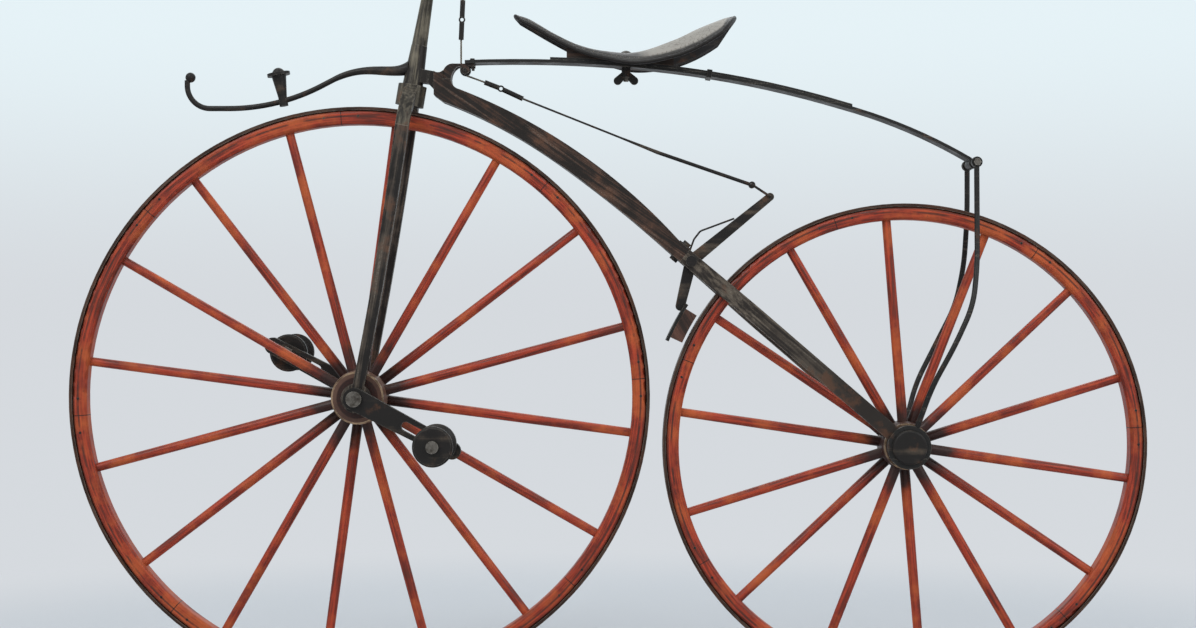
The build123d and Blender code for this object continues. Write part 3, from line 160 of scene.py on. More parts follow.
def make_wheel_group():
    """Give a point's distance from a hub, its turn about it, and grain lines along rim and spoke."""
    tree, start, end = new_group(
        "wheel_lines",
        [("Position", VECTOR, (0, 0, 0)), ("Hub", VECTOR, (0, 0, 0))],
        [("Distance", FLOAT), ("Turn", FLOAT), ("Rim grain", FLOAT), ("Spoke grain", FLOAT)],
    )
    outward = vector_maths(tree, "SUBTRACT", start.outputs["Position"], start.outputs["Hub"])
    parts = node(tree, "ShaderNodeSeparateXYZ", {0: outward})
    x, y, z = parts.outputs
    square = maths(tree, "ADD", maths(tree, "MULTIPLY", x, x), maths(tree, "MULTIPLY", z, z))
    distance = maths(tree, "SQRT", square)
    turn = maths(tree, "ARCTAN2", z, x)
    east = maths(tree, "DIVIDE", x, distance)
    north = maths(tree, "DIVIDE", z, distance)
    side = maths(tree, "MULTIPLY", y, OVER_WIDTH)
    rim_inputs = {
        0: maths(tree, "MULTIPLY", east, ALONG_GRAIN),
        1: maths(tree, "MULTIPLY", north, ALONG_GRAIN),
        2: maths(tree, "MULTIPLY", distance, ACROSS_RIM),
    }
    rim_place = node(tree, "ShaderNodeCombineXYZ", rim_inputs).outputs[0]
    spoke_inputs = {
        0: maths(tree, "MULTIPLY", east, ACROSS_SPOKE),
        1: maths(tree, "MULTIPLY", north, ACROSS_SPOKE),
        2: maths(tree, "MULTIPLY", distance, ALONG_GRAIN),
    }
    spoke_place = node(tree, "ShaderNodeCombineXYZ", spoke_inputs).outputs[0]
    tree.links.new(distance, end.inputs["Distance"])
    tree.links.new(turn, end.inputs["Turn"])
    tree.links.new(noise(tree, rim_place, 1.0, across=side), end.inputs["Rim grain"])
    tree.links.new(noise(tree, spoke_place, 1.0, across=side), end.inputs["Spoke grain"])
    return tree


def make_joint_group():
    """Find the thin lines at equal turns about a hub, as between the pieces of a rim."""
    tree, start, end = new_group(
        "rim_joints",
        [
            ("Turn", FLOAT, 0.0), ("Distance", FLOAT, 0.4), ("Pitch", FLOAT, 1.0),
            ("Phase", FLOAT, 0.0), ("Half width", FLOAT, 0.0004),
        ],
        [("Line", FLOAT)],
    )
    turned = maths(tree, "SUBTRACT", start.outputs["Turn"], start.outputs["Phase"])
    share = maths(tree, "DIVIDE", turned, start.outputs["Pitch"])
    nearest = maths(tree, "ROUND", share)
    apart = maths(tree, "ABSOLUTE", maths(tree, "SUBTRACT", share, nearest))
    angle = maths(tree, "MULTIPLY", apart, start.outputs["Pitch"])
    arc = maths(tree, "MULTIPLY", angle, start.outputs["Distance"])
    wide = maths(tree, "MULTIPLY", start.outputs["Half width"], 2.2)
    tree.links.new(rise(tree, arc, start.outputs["Half width"], wide, 1.0, 0.0), end.inputs["Line"])
    return tree


def make_streak_group():
    """Give long streaks along a lean in the centre plane, blotches and fine flecks."""
    tree, start, end = new_group(
        "streaks",
        [("Position", VECTOR, (0, 0, 0)), ("Lean", VECTOR, (0, 0, 0)), ("Fineness", FLOAT, 1.0)],
        [("Streak", FLOAT), ("Blotch", FLOAT), ("Fleck", FLOAT)],
    )
    inputs = {
        "Vector": start.outputs["Position"], "Rotation": start.outputs["Lean"],
        "Scale": (1 / 7, 1 / 190, 1 / 230),
    }
    stretched = node(tree, "ShaderNodeMapping", inputs, vector_type="TEXTURE")
    streak = noise(tree, stretched.outputs[0], start.outputs["Fineness"], 5.0)
    tree.links.new(streak, end.inputs["Streak"])
    tree.links.new(noise(tree, start.outputs["Position"], 24.0, 5.0, 0.62), end.inputs["Blotch"])
    tree.links.new(noise(tree, start.outputs["Position"], 420.0, 3.0, 0.6), end.inputs["Fleck"])
    return tree


def make_dust_group():
    """Find what faces up, where dust lies, broken up by a noise."""
    tree, start, end = new_group(
        "settled_dust", [("Position", VECTOR, (0, 0, 0)), ("Amount", FLOAT, 0.5)], [("Dust", FLOAT)]
    )
    facing = node(tree, "ShaderNodeNewGeometry").outputs["Normal"]
    upward = rise(tree, node(tree, "ShaderNodeSeparateXYZ", {0: facing}).outputs[2], 0.25, 0.95)
    patchy = rise(tree, noise(tree, start.outputs["Position"], 60.0, 5.0), 0.3, 0.7)
    lying = maths(tree, "MULTIPLY", maths(tree, "MULTIPLY", upward, patchy), start.outputs["Amount"])
    tree.links.new(lying, end.inputs["Dust"])
    return tree


EDGES = make_edge_group()
WHEEL_LINES = make_wheel_group()
RIM_JOINTS = make_joint_group()
STREAKS = make_streak_group()
DUST = make_dust_group()


def use(tree, group, inputs):
    """Place a node group with its own values."""
    placed = tree.nodes.new("ShaderNodeGroup")
    placed.node_tree = group
    for name, value in inputs.items():
        if isinstance(value, bpy.types.NodeSocket):
            tree.links.new(value, placed.inputs[name])
        else:
            placed.inputs[name].default_value = value
    return placed.outputs


def new_material(name, roughness, metallic=0.0, coat=0.0):
    """Start a material, and give its tree, its shader and the point on the object."""
    material = bpy.data.materials.new(name)
    material.use_nodes = True
    tree = material.node_tree
    shader = tree.nodes["Principled BSDF"]
    shader.inputs["Roughness"].default_value = roughness
    shader.inputs["Metallic"].default_value = metallic
    shader.inputs["Coat Weight"].default_value = coat
    shader.inputs["Coat Roughness"].default_value = 0.3
    shader.inputs["Specular IOR Level"].default_value = 0.22
    place = node(tree, "ShaderNodeTexCoord").outputs["Object"]
    return material, tree, shader, place


def lay_bump(tree, shader, height, distance, strength=1.0):
    """Lead a height into the shader's normal."""
    bump = node(tree, "ShaderNodeBump", {"Height": height, "Distance": distance, "Strength": strength})
    tree.links.new(bump.outputs["Normal"], shader.inputs["Normal"])


# Painted wood of the wheels: red over brown, with grain, a dark line, dirt and bare patches

RED_PAINT = (0.385, 0.046, 0.018, 1)
ORANGE_PAINT = (0.48, 0.106, 0.027, 1)
DEEP_RED = (0.14, 0.014, 0.008, 1)
BARE_WOOD = (0.30, 0.14, 0.065, 1)
GRAIN_DIRT = (0.075, 0.022, 0.012, 1)
SPECK_BROWN = (0.06, 0.025, 0.015, 1)
LINE_BROWN = (0.045, 0.016, 0.011, 1)
GRIME_BY_TYRE = (0.055, 0.022, 0.014, 1)
JOINT_BLACK = (0.02, 0.012, 0.01, 1)
RUBBED_NAVE = (0.135, 0.070, 0.048, 1)
DUST_ON_WOOD = (0.36, 0.27, 0.21, 1)

# The dark line and the pins lie at this share of the felloe's depth, in from the tyre
LINE_DEPTH = 0.42


def make_wheel_wood(name, hub, grain, rim=None, dark_to=None, ring_from=None):
    """Make a wheel's painted wood, grained along rim or spokes, with a rim's joints or a nave's soot and
    painted shade.
    """
    material, tree, shader, place = new_material(name, 0.5, coat=0.12)
    lines = use(tree, WHEEL_LINES, {"Position": place, "Hub": hub})
    edge = use(tree, EDGES, {"Position": place, "Width": 0.0022, "Breakup": 70.0})["Edge"]
    blotch = noise(tree, place, 16.0, 5.0, 0.6)
    fleck = noise(tree, place, 300.0, 3.0)
    colour = blend(tree, rise(tree, lines[grain], 0.34, 0.68), DEEP_RED, RED_PAINT)
    colour = blend(tree, rise(tree, blotch, 0.44, 0.68, 0.0, 0.7), colour, ORANGE_PAINT)
    bare = maths(tree, "MULTIPLY", edge, 0.55)
    colour = blend(tree, bare, colour, BARE_WOOD)
    dirt = maths(tree, "MULTIPLY", rise(tree, blotch, 0.52, 0.36), rise(tree, lines[grain], 0.6, 0.4))
    colour = blend(tree, maths(tree, "MULTIPLY", dirt, 0.6), colour, GRAIN_DIRT)
    speck = rise(tree, fleck, 0.67, 0.72, 0.0, 0.8)
    colour = blend(tree, speck, colour, SPECK_BROWN)
    height = maths(tree, "MULTIPLY", lines[grain], 0.6)
    if rim:
        rim_radius, felloe_depth, pitch, phase = rim
        stripe_radius = rim_radius - LINE_DEPTH * felloe_depth
        stripe = maths(tree, "ABSOLUTE", maths(tree, "SUBTRACT", lines["Distance"], stripe_radius))
        stripe = rise(tree, stripe, 0.0008, 0.0020, 0.8, 0.0)
        kept = rise(tree, noise(tree, place, 26.0, 4.0), 0.38, 0.52)
        colour = blend(tree, maths(tree, "MULTIPLY", stripe, kept), colour, LINE_BROWN)
        by_tyre = rise(tree, lines["Distance"], rim_radius - 0.0055, rim_radius - 0.001, 0.0, 0.75)
        colour = blend(tree, by_tyre, colour, GRIME_BY_TYRE)
        joint = use(tree, RIM_JOINTS, {
            "Turn": lines["Turn"], "Distance": lines["Distance"], "Pitch": pitch, "Phase": phase,
        })["Line"]
        colour = blend(tree, maths(tree, "MULTIPLY", joint, 0.9), colour, JOINT_BLACK)
        height = maths(tree, "SUBTRACT", height, maths(tree, "MULTIPLY", joint, 2.0))
    else:
        # Soot round the hub, darkened also as painted shade where the spokes crowd in, fading out by
        # dark_to
        soot_and_shade_noise = maths(tree, "MULTIPLY_ADD", noise(tree, place, 22.0), 0.09, -0.045)
        reach = maths(tree, "ADD", lines["Distance"], soot_and_shade_noise)
        soot_and_shade = rise(tree, reach, dark_to * 0.55, dark_to, 0.94, 0.0)
        colour = blend(tree, soot_and_shade, colour, SOOT_AND_SHADE_BLACK)
        if ring_from:
            worn_ring = rise(tree, lines["Distance"], ring_from, ring_from + 0.0025)
            worn_ring = maths(tree, "MULTIPLY", worn_ring, rise(tree, blotch, 0.3, 0.55, 0.4, 0.9))
            colour = blend(tree, worn_ring, colour, RUBBED_NAVE)
    dust = use(tree, DUST, {"Position": place, "Amount": 0.12})["Dust"]
    colour = blend(tree, dust, colour, DUST_ON_WOOD)
    tree.links.new(colour, shader.inputs["Base Color"])
    tree.links.new(rise(tree, blotch, 0.3, 0.7, 0.42, 0.66), shader.inputs["Roughness"])
    lay_bump(tree, shader, height, 0.0005, 0.7)
    return material


# Iron: nearly black, with warm streaks, pale worn corners and dust

RUST = (0.115, 0.050, 0.026, 1)
DUST_ON_IRON = (0.17, 0.150, 0.125, 1)
TYRE_BROWN = (0.026, 0.014, 0.010, 1)
TYRE_RUBBED = (0.085, 0.050, 0.035, 1)
TYRE_RUST = (0.085, 0.032, 0.017, 1)
TYRE_BRIGHT = (0.27, 0.235, 0.205, 1)


def make_iron(name, lean=0.0, base=(0.017, 0.015, 0.013, 1), warm=(0.075, 0.056, 0.040, 1),
              pale=(0.26, 0.235, 0.195, 1), wear=0.5, warm_from=0.53, scratched=0.5, fineness=1.0,
              dark_behind=None):
    """Make old blackened iron, streaked along a lean in the centre plane, and dark behind a place."""
    material, tree, shader, place = new_material(name, 0.5, 0.1)
    marks = use(tree, STREAKS, {"Position": place, "Lean": (0, lean, 0), "Fineness": fineness})
    edge = use(tree, EDGES, {"Position": place, "Width": 0.0016, "Breakup": 110.0})["Edge"]
    blotched = maths(tree, "MULTIPLY", marks["Blotch"], 0.4)
    mixed = maths(tree, "MULTIPLY_ADD", marks["Streak"], 0.6, blotched)
    warmth = rise(tree, mixed, warm_from - 0.06, warm_from + 0.12)
    if dark_behind:
        station = node(tree, "ShaderNodeSeparateXYZ", {0: place}).outputs[0]
        warmth = maths(tree, "MULTIPLY", warmth, rise(tree, station, *dark_behind, 1.0, 0.0))
    colour = blend(tree, warmth, base, warm)
    rusty = maths(tree, "MULTIPLY", rise(tree, marks["Blotch"], 0.56, 0.68), 0.5)
    colour = blend(tree, rusty, colour, RUST)
    flecked = rise(tree, marks["Fleck"], 0.45, 0.6)
    rub = maths(tree, "MULTIPLY", rise(tree, marks["Streak"], 0.56, 0.68), flecked)
    bare = maths(tree, "MAXIMUM", maths(tree, "MULTIPLY", rub, scratched), edge)
    colour = blend(tree, maths(tree, "MULTIPLY", bare, wear), colour, pale)
    dust = use(tree, DUST, {"Position": place, "Amount": 0.2})["Dust"]
    colour = blend(tree, dust, colour, DUST_ON_IRON)
    tree.links.new(colour, shader.inputs["Base Color"])
    tree.links.new(rise(tree, marks["Blotch"], 0.3, 0.7, 0.36, 0.62), shader.inputs["Roughness"])
    fine = maths(tree, "MULTIPLY", marks["Fleck"], 0.2)
    height = maths(tree, "MULTIPLY_ADD", marks["Blotch"], 0.8, fine)
    lay_bump(tree, shader, height, 0.0004, 0.8)
    return material


def make_tyre_iron(name, hub):
    """Make the brown iron of a tyre, with scratches round its tread."""
    material, tree, shader, place = new_material(name, 0.5, 0.35)
    lines = use(tree, WHEEL_LINES, {"Position": place, "Hub": hub})
    edge = use(tree, EDGES, {"Position": place, "Width": 0.0016, "Breakup": 90.0})["Edge"]
    blotch = noise(tree, place, 22.0, 5.0, 0.6)
    worn_band = rise(tree, lines["Rim grain"], 0.4, 0.66)
    colour = blend(tree, worn_band, TYRE_BROWN, TYRE_RUBBED)
    colour = blend(tree, rise(tree, blotch, 0.5, 0.68, 0.0, 0.6), colour, TYRE_RUST)
    colour = blend(tree, maths(tree, "MULTIPLY", edge, 0.6), colour, TYRE_BRIGHT)
    tree.links.new(colour, shader.inputs["Base Color"])
    tree.links.new(rise(tree, blotch, 0.3, 0.7, 0.36, 0.6), shader.inputs["Roughness"])
    lay_bump(tree, shader, maths(tree, "ADD", lines["Rim grain"], blotch), 0.0004, 0.7)
    return material


def make_bare_metal(name, base, dark, pale, roughness):
    """Make a small fitting's worn bright metal, dark in its hollows."""
    material, tree, shader, place = new_material(name, roughness, 0.75)
    edge = use(tree, EDGES, {"Position": place, "Width": 0.0012, "Breakup": 160.0})["Edge"]
    blotch = noise(tree, place, 55.0, 5.0, 0.62)
    fleck = noise(tree, place, 600.0, 3.0)
    colour = blend(tree, rise(tree, blotch, 0.38, 0.62), dark, base)
    colour = blend(tree, rise(tree, fleck, 0.6, 0.7, 0.0, 0.5), colour, dark)
    colour = blend(tree, maths(tree, "MULTIPLY", edge, 0.7), colour, pale)
    tree.links.new(colour, shader.inputs["Base Color"])
    gloss = rise(tree, blotch, 0.3, 0.7, roughness + 0.16, roughness - 0.08)
    tree.links.new(gloss, shader.inputs["Roughness"])
    lay_bump(tree, shader, maths(tree, "ADD", blotch, maths(tree, "MULTIPLY", fleck, 0.3)), 0.00025, 0.8)
    return material


# Bare wood, leather and linen

CRACK_BROWN = (0.030, 0.022, 0.018, 1)
CORD_SHADE = (0.085, 0.070, 0.052, 1)
CORD_LIGHT = (0.26, 0.225, 0.17, 1)
CORD_DIRT = (0.055, 0.045, 0.036, 1)


def make_brown_wood(name, lean_vector, dark, pale, worn):
    """Make the dark bare wood of the block, the brake and the handles."""
    material, tree, shader, place = new_material(name, 0.55, coat=0.08)
    inputs = {"Vector": place, "Rotation": lean_vector, "Scale": (1 / 10, 1 / 150, 1 / 150)}
    along = node(tree, "ShaderNodeMapping", inputs, vector_type="TEXTURE").outputs[0]
    grain = noise(tree, along, 1.0, 6.0, 0.6)
    edge = use(tree, EDGES, {"Position": place, "Width": 0.002, "Breakup": 100.0})["Edge"]
    colour = blend(tree, rise(tree, grain, 0.36, 0.66), dark, pale)
    colour = blend(tree, maths(tree, "MULTIPLY", edge, 0.5), colour, worn)
    tree.links.new(colour, shader.inputs["Base Color"])
    tree.links.new(rise(tree, grain, 0.3, 0.7, 0.45, 0.65), shader.inputs["Roughness"])
    lay_bump(tree, shader, grain, 0.0006, 0.8)
    return material


def make_leather(name, base, worn, crack_share, sheen):
    """Make old leather: fine pores, cracks, and a dry pale top where it is worn, which is also a painted
    sheen.
    """
    material, tree, shader, place = new_material(name, 0.6)
    shader.inputs["Sheen Weight"].default_value = sheen
    rubbed_and_sheen = node(tree, "ShaderNodeAttribute", attribute_name="rubbed_and_sheen").outputs["Fac"]
    blotch = noise(tree, place, 26.0, 6.0, 0.62)
    pores = node(tree, "ShaderNodeTexVoronoi", {"Vector": place, "Scale": 520.0}).outputs["Distance"]
    inputs = {"Vector": place, "Scale": 130.0, "Randomness": 1.0}
    cracks = node(tree, "ShaderNodeTexVoronoi", inputs, feature="DISTANCE_TO_EDGE").outputs["Distance"]
    crack = rise(tree, cracks, 0.0, 0.07, 1.0, 0.0)
    crack = maths(tree, "MULTIPLY", crack, rise(tree, blotch, 0.42, 0.6))
    # Pale where rubbed, and also a painted sheen on the rear flanks, broken up by blotches
    amount = maths(tree, "ADD", rubbed_and_sheen, maths(tree, "MULTIPLY_ADD", blotch, 1.1, -0.55))
    colour = blend(tree, rise(tree, amount, 0.1, 0.85), base, worn)
    colour = blend(tree, maths(tree, "MULTIPLY", crack, crack_share), colour, CRACK_BROWN)
    tree.links.new(colour, shader.inputs["Base Color"])
    tree.links.new(rise(tree, amount, 0.2, 0.9, 0.48, 0.72), shader.inputs["Roughness"])
    height = maths(tree, "SUBTRACT", maths(tree, "MULTIPLY", pores, 0.35), crack)
    height = maths(tree, "ADD", height, blotch)
    lay_bump(tree, shader, height, 0.0006, 0.8)
    return material


def make_cord_finish(name):
    """Make the dirty linen of the brake cord, with its fibres along the strands."""
    material, tree, shader, place = new_material(name, 0.85)
    shader.inputs["Sheen Weight"].default_value = 0.2
    fibres = noise(tree, place, 900.0, 4.0)
    blotch = noise(tree, place, 60.0, 4.0)
    colour = blend(tree, rise(tree, fibres, 0.35, 0.7), CORD_SHADE, CORD_LIGHT)
    colour = blend(tree, rise(tree, blotch, 0.48, 0.66, 0.0, 0.75), colour, CORD_DIRT)
    tree.links.new(colour, shader.inputs["Base Color"])
    lay_bump(tree, shader, fibres, 0.0003, 0.9)
    return material


# Rims: each felloe carries two spokes, and the joints between felloes lie midway between two spokes

FRONT_FELLOES = 8
REAR_FELLOES = 7
FRONT_JOINT = radians(-7.5 + 2.5 * 360 / 16)
REAR_JOINT = radians(-8.4 + 0.5 * 360 / 14)
# Radius of the wood, its depth, pitch of the joints, turn of the first joint
FRONT_RIM = (FRONT_RADIUS - TYRE_THICKNESS, 0.0225, 2 * pi / FRONT_FELLOES, FRONT_JOINT)
REAR_RIM = (REAR_RADIUS - TYRE_THICKNESS, 0.0205, 2 * pi / REAR_FELLOES, REAR_JOINT)

front_rim_wood = make_wheel_wood("front_rim_wood", FRONT_HUB, "Rim grain", rim=FRONT_RIM)
rear_rim_wood = make_wheel_wood("rear_rim_wood", REAR_HUB, "Rim grain", rim=REAR_RIM)
front_spoke_wood = make_wheel_wood("front_spoke_wood", FRONT_HUB, "Spoke grain", dark_to=0.104)
rear_spoke_wood = make_wheel_wood("rear_spoke_wood", REAR_HUB, "Spoke grain", dark_to=0.088)
front_nave_wood = make_wheel_wood(
    "front_nave_wood", FRONT_HUB, "Rim grain", dark_to=0.14, ring_from=0.031
)
rear_nave_wood = make_wheel_wood("rear_nave_wood", REAR_HUB, "Rim grain", dark_to=0.12)
front_tyre_iron = make_tyre_iron("front_tyre_iron", FRONT_HUB)
rear_tyre_iron = make_tyre_iron("rear_tyre_iron", REAR_HUB)
fork_iron = make_iron(
    "fork_iron", lean=HEAD_ANGLE - pi / 2, base=(0.012, 0.010, 0.009, 1),
    warm=(0.080, 0.062, 0.048, 1), warm_from=0.5, wear=0.6,
)
post_iron = make_iron(
    "post_iron", lean=HEAD_ANGLE - pi / 2, base=(0.028, 0.024, 0.018, 1),
    warm=(0.165, 0.143, 0.104, 1), warm_from=0.47, wear=0.7,
)
crown_iron = make_iron(
    "crown_iron", lean=HEAD_ANGLE - pi / 2, base=(0.018, 0.015, 0.012, 1),
    warm=(0.105, 0.090, 0.066, 1), warm_from=0.49, wear=0.6,
)
socket_iron = make_iron(
    "socket_iron", lean=HEAD_ANGLE - pi / 2, base=(0.016, 0.013, 0.011, 1),
    warm=(0.165, 0.143, 0.104, 1), warm_from=0.46, dark_behind=(-0.346, -0.334),
)
backbone_iron = make_iron(
    "backbone_iron", lean=radians(35), base=(0.015, 0.011, 0.009, 1),
    warm=(0.085, 0.043, 0.028, 1), warm_from=0.52,
)
leg_iron = make_iron(
    "leg_iron", lean=LEG_ANGLE, base=(0.022, 0.017, 0.014, 1),
    warm=(0.112, 0.090, 0.068, 1), warm_from=0.47, wear=0.6, dark_behind=(0.18, 0.36),
)
plain_iron = make_iron(
    "plain_iron", base=(0.012, 0.010, 0.009, 1), warm_from=0.56, scratched=0.12, fineness=0.25
)
spring_iron = make_iron("spring_iron", base=(0.015, 0.014, 0.013, 1), warm_from=0.6, wear=0.4)
worn_steel = make_bare_metal(
    "worn_steel", (0.15, 0.135, 0.118, 1), (0.040, 0.033, 0.027, 1), (0.48, 0.44, 0.39, 1), 0.42
)
nave_brass = make_bare_metal(
    "nave_brass", (0.36, 0.24, 0.15, 1), (0.10, 0.062, 0.040, 1), (0.62, 0.46, 0.32, 1), 0.42
)
block_wood = make_brown_wood(
    "block_wood", (0, 0, 0), (0.012, 0.008, 0.006, 1), (0.048, 0.026, 0.017, 1), (0.11, 0.065, 0.042, 1)
)
brake_wood = make_brown_wood(
    "brake_wood", (0, radians(62), 0),
    (0.018, 0.010, 0.007, 1), (0.095, 0.042, 0.028, 1), (0.16, 0.08, 0.05, 1),
)
handle_wood = make_brown_wood(
    "handle_wood", (0, 0, pi / 2),
    (0.055, 0.026, 0.014, 1), (0.21, 0.105, 0.052, 1), (0.33, 0.19, 0.11, 1),
)
# The seat's pale colour is worn leather and also a painted sheen
seat_leather = make_leather("seat_leather", (0.018, 0.014, 0.011, 1), (0.34, 0.32, 0.285, 1), 0.45, 0.12)
# The welt's dark leather is made darker still as painted shade under the seat's rim
welt_leather_and_shade = make_leather(
    "welt_leather_and_shade", (0.009, 0.007, 0.006, 1), (0.045, 0.038, 0.032, 1), 0.4, 0.02
)
cord_linen = make_cord_finish("cord_linen")
stitch_thread = make_cord_finish("stitch_thread")

DRESS = {
    front_tyre_iron: ["front_tyre"],
    rear_tyre_iron: ["rear_tyre"],
    front_rim_wood: ["front_felloes"],
    rear_rim_wood: ["rear_felloes"],
    front_spoke_wood: ["front_spokes"],
    rear_spoke_wood: ["rear_spokes"],
    front_nave_wood: ["front_nave"],
    rear_nave_wood: ["rear_nave"],
    nave_brass: ["front_nave_bands", "rear_nave_bands"],
    fork_iron: ["fork_blades", "handlebar", "winding_yoke"],
    post_iron: ["steering_post"],
    crown_iron: ["fork_crown"],
    socket_iron: ["head_socket"],
    backbone_iron: ["backbone"],
    leg_iron: ["rear_legs"],
    spring_iron: ["long_spring_leaf", "short_spring_leaf", "stays"],
    plain_iron: [
        "cranks", "left_pedal", "right_pedal", "rear_axle_caps", "leg_rest", "lamp_bracket",
        "brake_lever", "brake_rod", "brake_link", "cord_hooks", "cord_pulley", "return_spring",
        "spring_fixings", "wing_nut", "leg_bolts",
    ],
    worn_steel: ["front_axle", "pedal_pins", "rear_axle", "shackle_bolt", "saddle_bolt"],
    block_wood: ["saddle_block"],
    brake_wood: ["brake_block"],
    handle_wood: ["grips"],
    seat_leather: ["saddle"],
    cord_linen: ["brake_cord", "upper_brake_cord"],
}
for material, names in DRESS.items():
    for name in names:
        for place in nodes[name].material_slots:
            place.material = material


# Modelling helpers

def start_afresh():
    """Leave edit mode and deselect everything."""
    if bpy.context.object and bpy.context.object.mode != "OBJECT":
        bpy.ops.object.mode_set(mode="OBJECT")
    bpy.ops.object.select_all(action="DESELECT")


def label(piece, material, name):
    """Name a finished piece and give it its material."""
    piece.name = name
    piece.data.name = name
    piece.data.materials.clear()
    piece.data.materials.append(material)


def settle(piece, body, material, name):
    """Name a finished piece, give it its material, and let it ride on its body."""
    label(piece, material, name)
    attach(piece, body)


def facing(place, outward, along=(0, 0, 1)):
    """Give the matrix that puts a template's base at a place, with its Z outward."""
    up = Vector(outward).normalized()
    side = Vector(along).cross(up).normalized()
    front = up.cross(side)
    turned = Matrix((side, front, up)).transposed().to_4x4()
    return Matrix.Translation(place) @ turned


def copy_to(template, places):
    """Copy a template to each place, each with its own mesh, and join the copies."""
    copies = []
    for place in places:
        copy = template.copy()
        copy.data = template.data.copy()
        copy.data.transform(place)
        bpy.context.scene.collection.objects.link(copy)
        copies.append(copy)
    bpy.data.objects.remove(template)
    start_afresh()
    for copy in copies:
        copy.select_set(True)
    bpy.context.view_layer.objects.active = copies[0]
    if len(copies) > 1:
        bpy.ops.object.join()
    return bpy.context.view_layer.objects.active


def make_stud(radius, height, sides, sink=0.001, top=0.55):
    """Model a stud head that domes up from its base: a disc pulled up in two narrowing steps."""
    start_afresh()
    bpy.ops.mesh.primitive_circle_add(vertices=sides, radius=radius, fill_type="NGON")
    stud = bpy.context.object
    for vertex in stud.data.vertices:
        vertex.co.z = -sink
    bpy.ops.object.mode_set(mode="EDIT")
    bpy.ops.mesh.select_all(action="SELECT")
    bpy.ops.mesh.extrude_region_move(TRANSFORM_OT_translate={"value": (0, 0, sink + 0.45 * height)})
    bpy.ops.mesh.extrude_region_move(TRANSFORM_OT_translate={"value": (0, 0, 0.4 * height)})
    bpy.ops.transform.resize(value=(0.85, 0.85, 1), center_override=(0, 0, height))
    bpy.ops.mesh.extrude_region_move(TRANSFORM_OT_translate={"value": (0, 0, 0.15 * height)})
    bpy.ops.transform.resize(value=(top, top, 1), center_override=(0, 0, height))
    bpy.ops.mesh.select_all(action="SELECT")
    bpy.ops.mesh.normals_make_consistent(inside=False)
    bpy.ops.object.mode_set(mode="OBJECT")
    bpy.ops.object.shade_smooth_by_angle(angle=radians(40))
    return stud


def make_tube(points, radius, sides=8, endless=False):
    """Make a round tube mesh along points, with closed ends or as an endless ring."""
    start_afresh()
    line = bpy.data.curves.new("tube", "CURVE")
    line.dimensions = "3D"
    line.bevel_depth = radius
    line.bevel_resolution = max(sides // 4 - 1, 0)
    line.use_fill_caps = True
    spline = line.splines.new("POLY")
    spline.use_cyclic_u = endless
    spline.points.add(len(points) - 1)
    for place, point in zip(spline.points, points):
        place.co = (*point, 1)
    tube = bpy.data.objects.new("tube", line)
    bpy.context.scene.collection.objects.link(tube)
    tube.select_set(True)
    bpy.context.view_layer.objects.active = tube
    bpy.ops.object.convert(target="MESH")
    return bpy.context.object


def join_up(pieces):
    """Join several meshes into one."""
    start_afresh()
    for piece in pieces:
        piece.select_set(True)
    bpy.context.view_layer.objects.active = pieces[0]
    bpy.ops.object.join()
    return pieces[0]


# Saddle: a crowned leather seat on an iron pan, with a welt round its edge and a seam inside it

SEAT_ROWS = [
    # Distance behind the low point, height of the ridge, half width, droop of flanks, flat half width
    (-0.1900, 0.0615, 0.0170, 0.0040, 0.0060),
    (-0.1673, 0.0528, 0.0260, 0.0075, 0.0120),
    (-0.1294, 0.0305, 0.0280, 0.0070, 0.0165),
    (-0.0915, 0.0125, 0.0310, 0.0080, 0.0175),
    (-0.0536, 0.0030, 0.0390, 0.0100, 0.0185),
    (0.0000, 0.0000, 0.0580, 0.0175, 0.0200),
    (0.0602, 0.0190, 0.0750, 0.0280, 0.0220),
    (0.0981, 0.0365, 0.0820, 0.0310, 0.0240),
    (0.1360, 0.0515, 0.0820, 0.0230, 0.0260),
    (0.1550, 0.0560, 0.0660, 0.0120, 0.0240),
]
LEATHER_THICKNESS = 0.0050
PAN_THICKNESS = 0.0013
WELT_RADIUS = 0.0031
DENT_DEPTH = 0.0008
FURROW_DEPTH = 0.0007
SEAM_ACROSS = 0.88
STITCH_PITCH = 0.0075
STITCH_RADIUS = 0.00045
STITCH_HEIGHT = 0.0007
STITCH_LENGTHENING = 5.2
SEAM_SINK = 0.0006
SEAM_END = 0.97
SEAM_STEP = 0.01
PAN_ACROSS = 0.95
PAN_GAP = 0.0002

# Where the corners of tail and nose start, as a share of the half length, and how far they are cut back
TAIL_START = 0.55
TAIL_CUT = 0.13
NOSE_START = 0.8
NOSE_CUT = 0.05


def seat_section(behind):
    """Give the ridge height, half width, droop and flat at a distance behind the low point."""
    rows = SEAT_ROWS
    behind = min(max(behind, rows[0][0]), rows[-1][0])
    index = max(i for i in range(len(rows) - 1) if rows[i][0] <= behind)
    before = rows[max(index - 1, 0)]
    first, second = rows[index], rows[index + 1]
    after = rows[min(index + 2, len(rows) - 1)]
    span = second[0] - first[0]
    share = (behind - first[0]) / span
    found = []
    for column in (1, 2, 3, 4):
        slope_in = (second[column] - before[column]) / (second[0] - before[0]) * span
        slope_out = (after[column] - first[column]) / (after[0] - first[0]) * span
        cube, square = share ** 3, share ** 2
        found.append(
            (2 * cube - 3 * square + 1) * first[column] + (cube - 2 * square + share) * slope_in
            + (3 * square - 2 * cube) * second[column] + (cube - square) * slope_out
        )
    return found


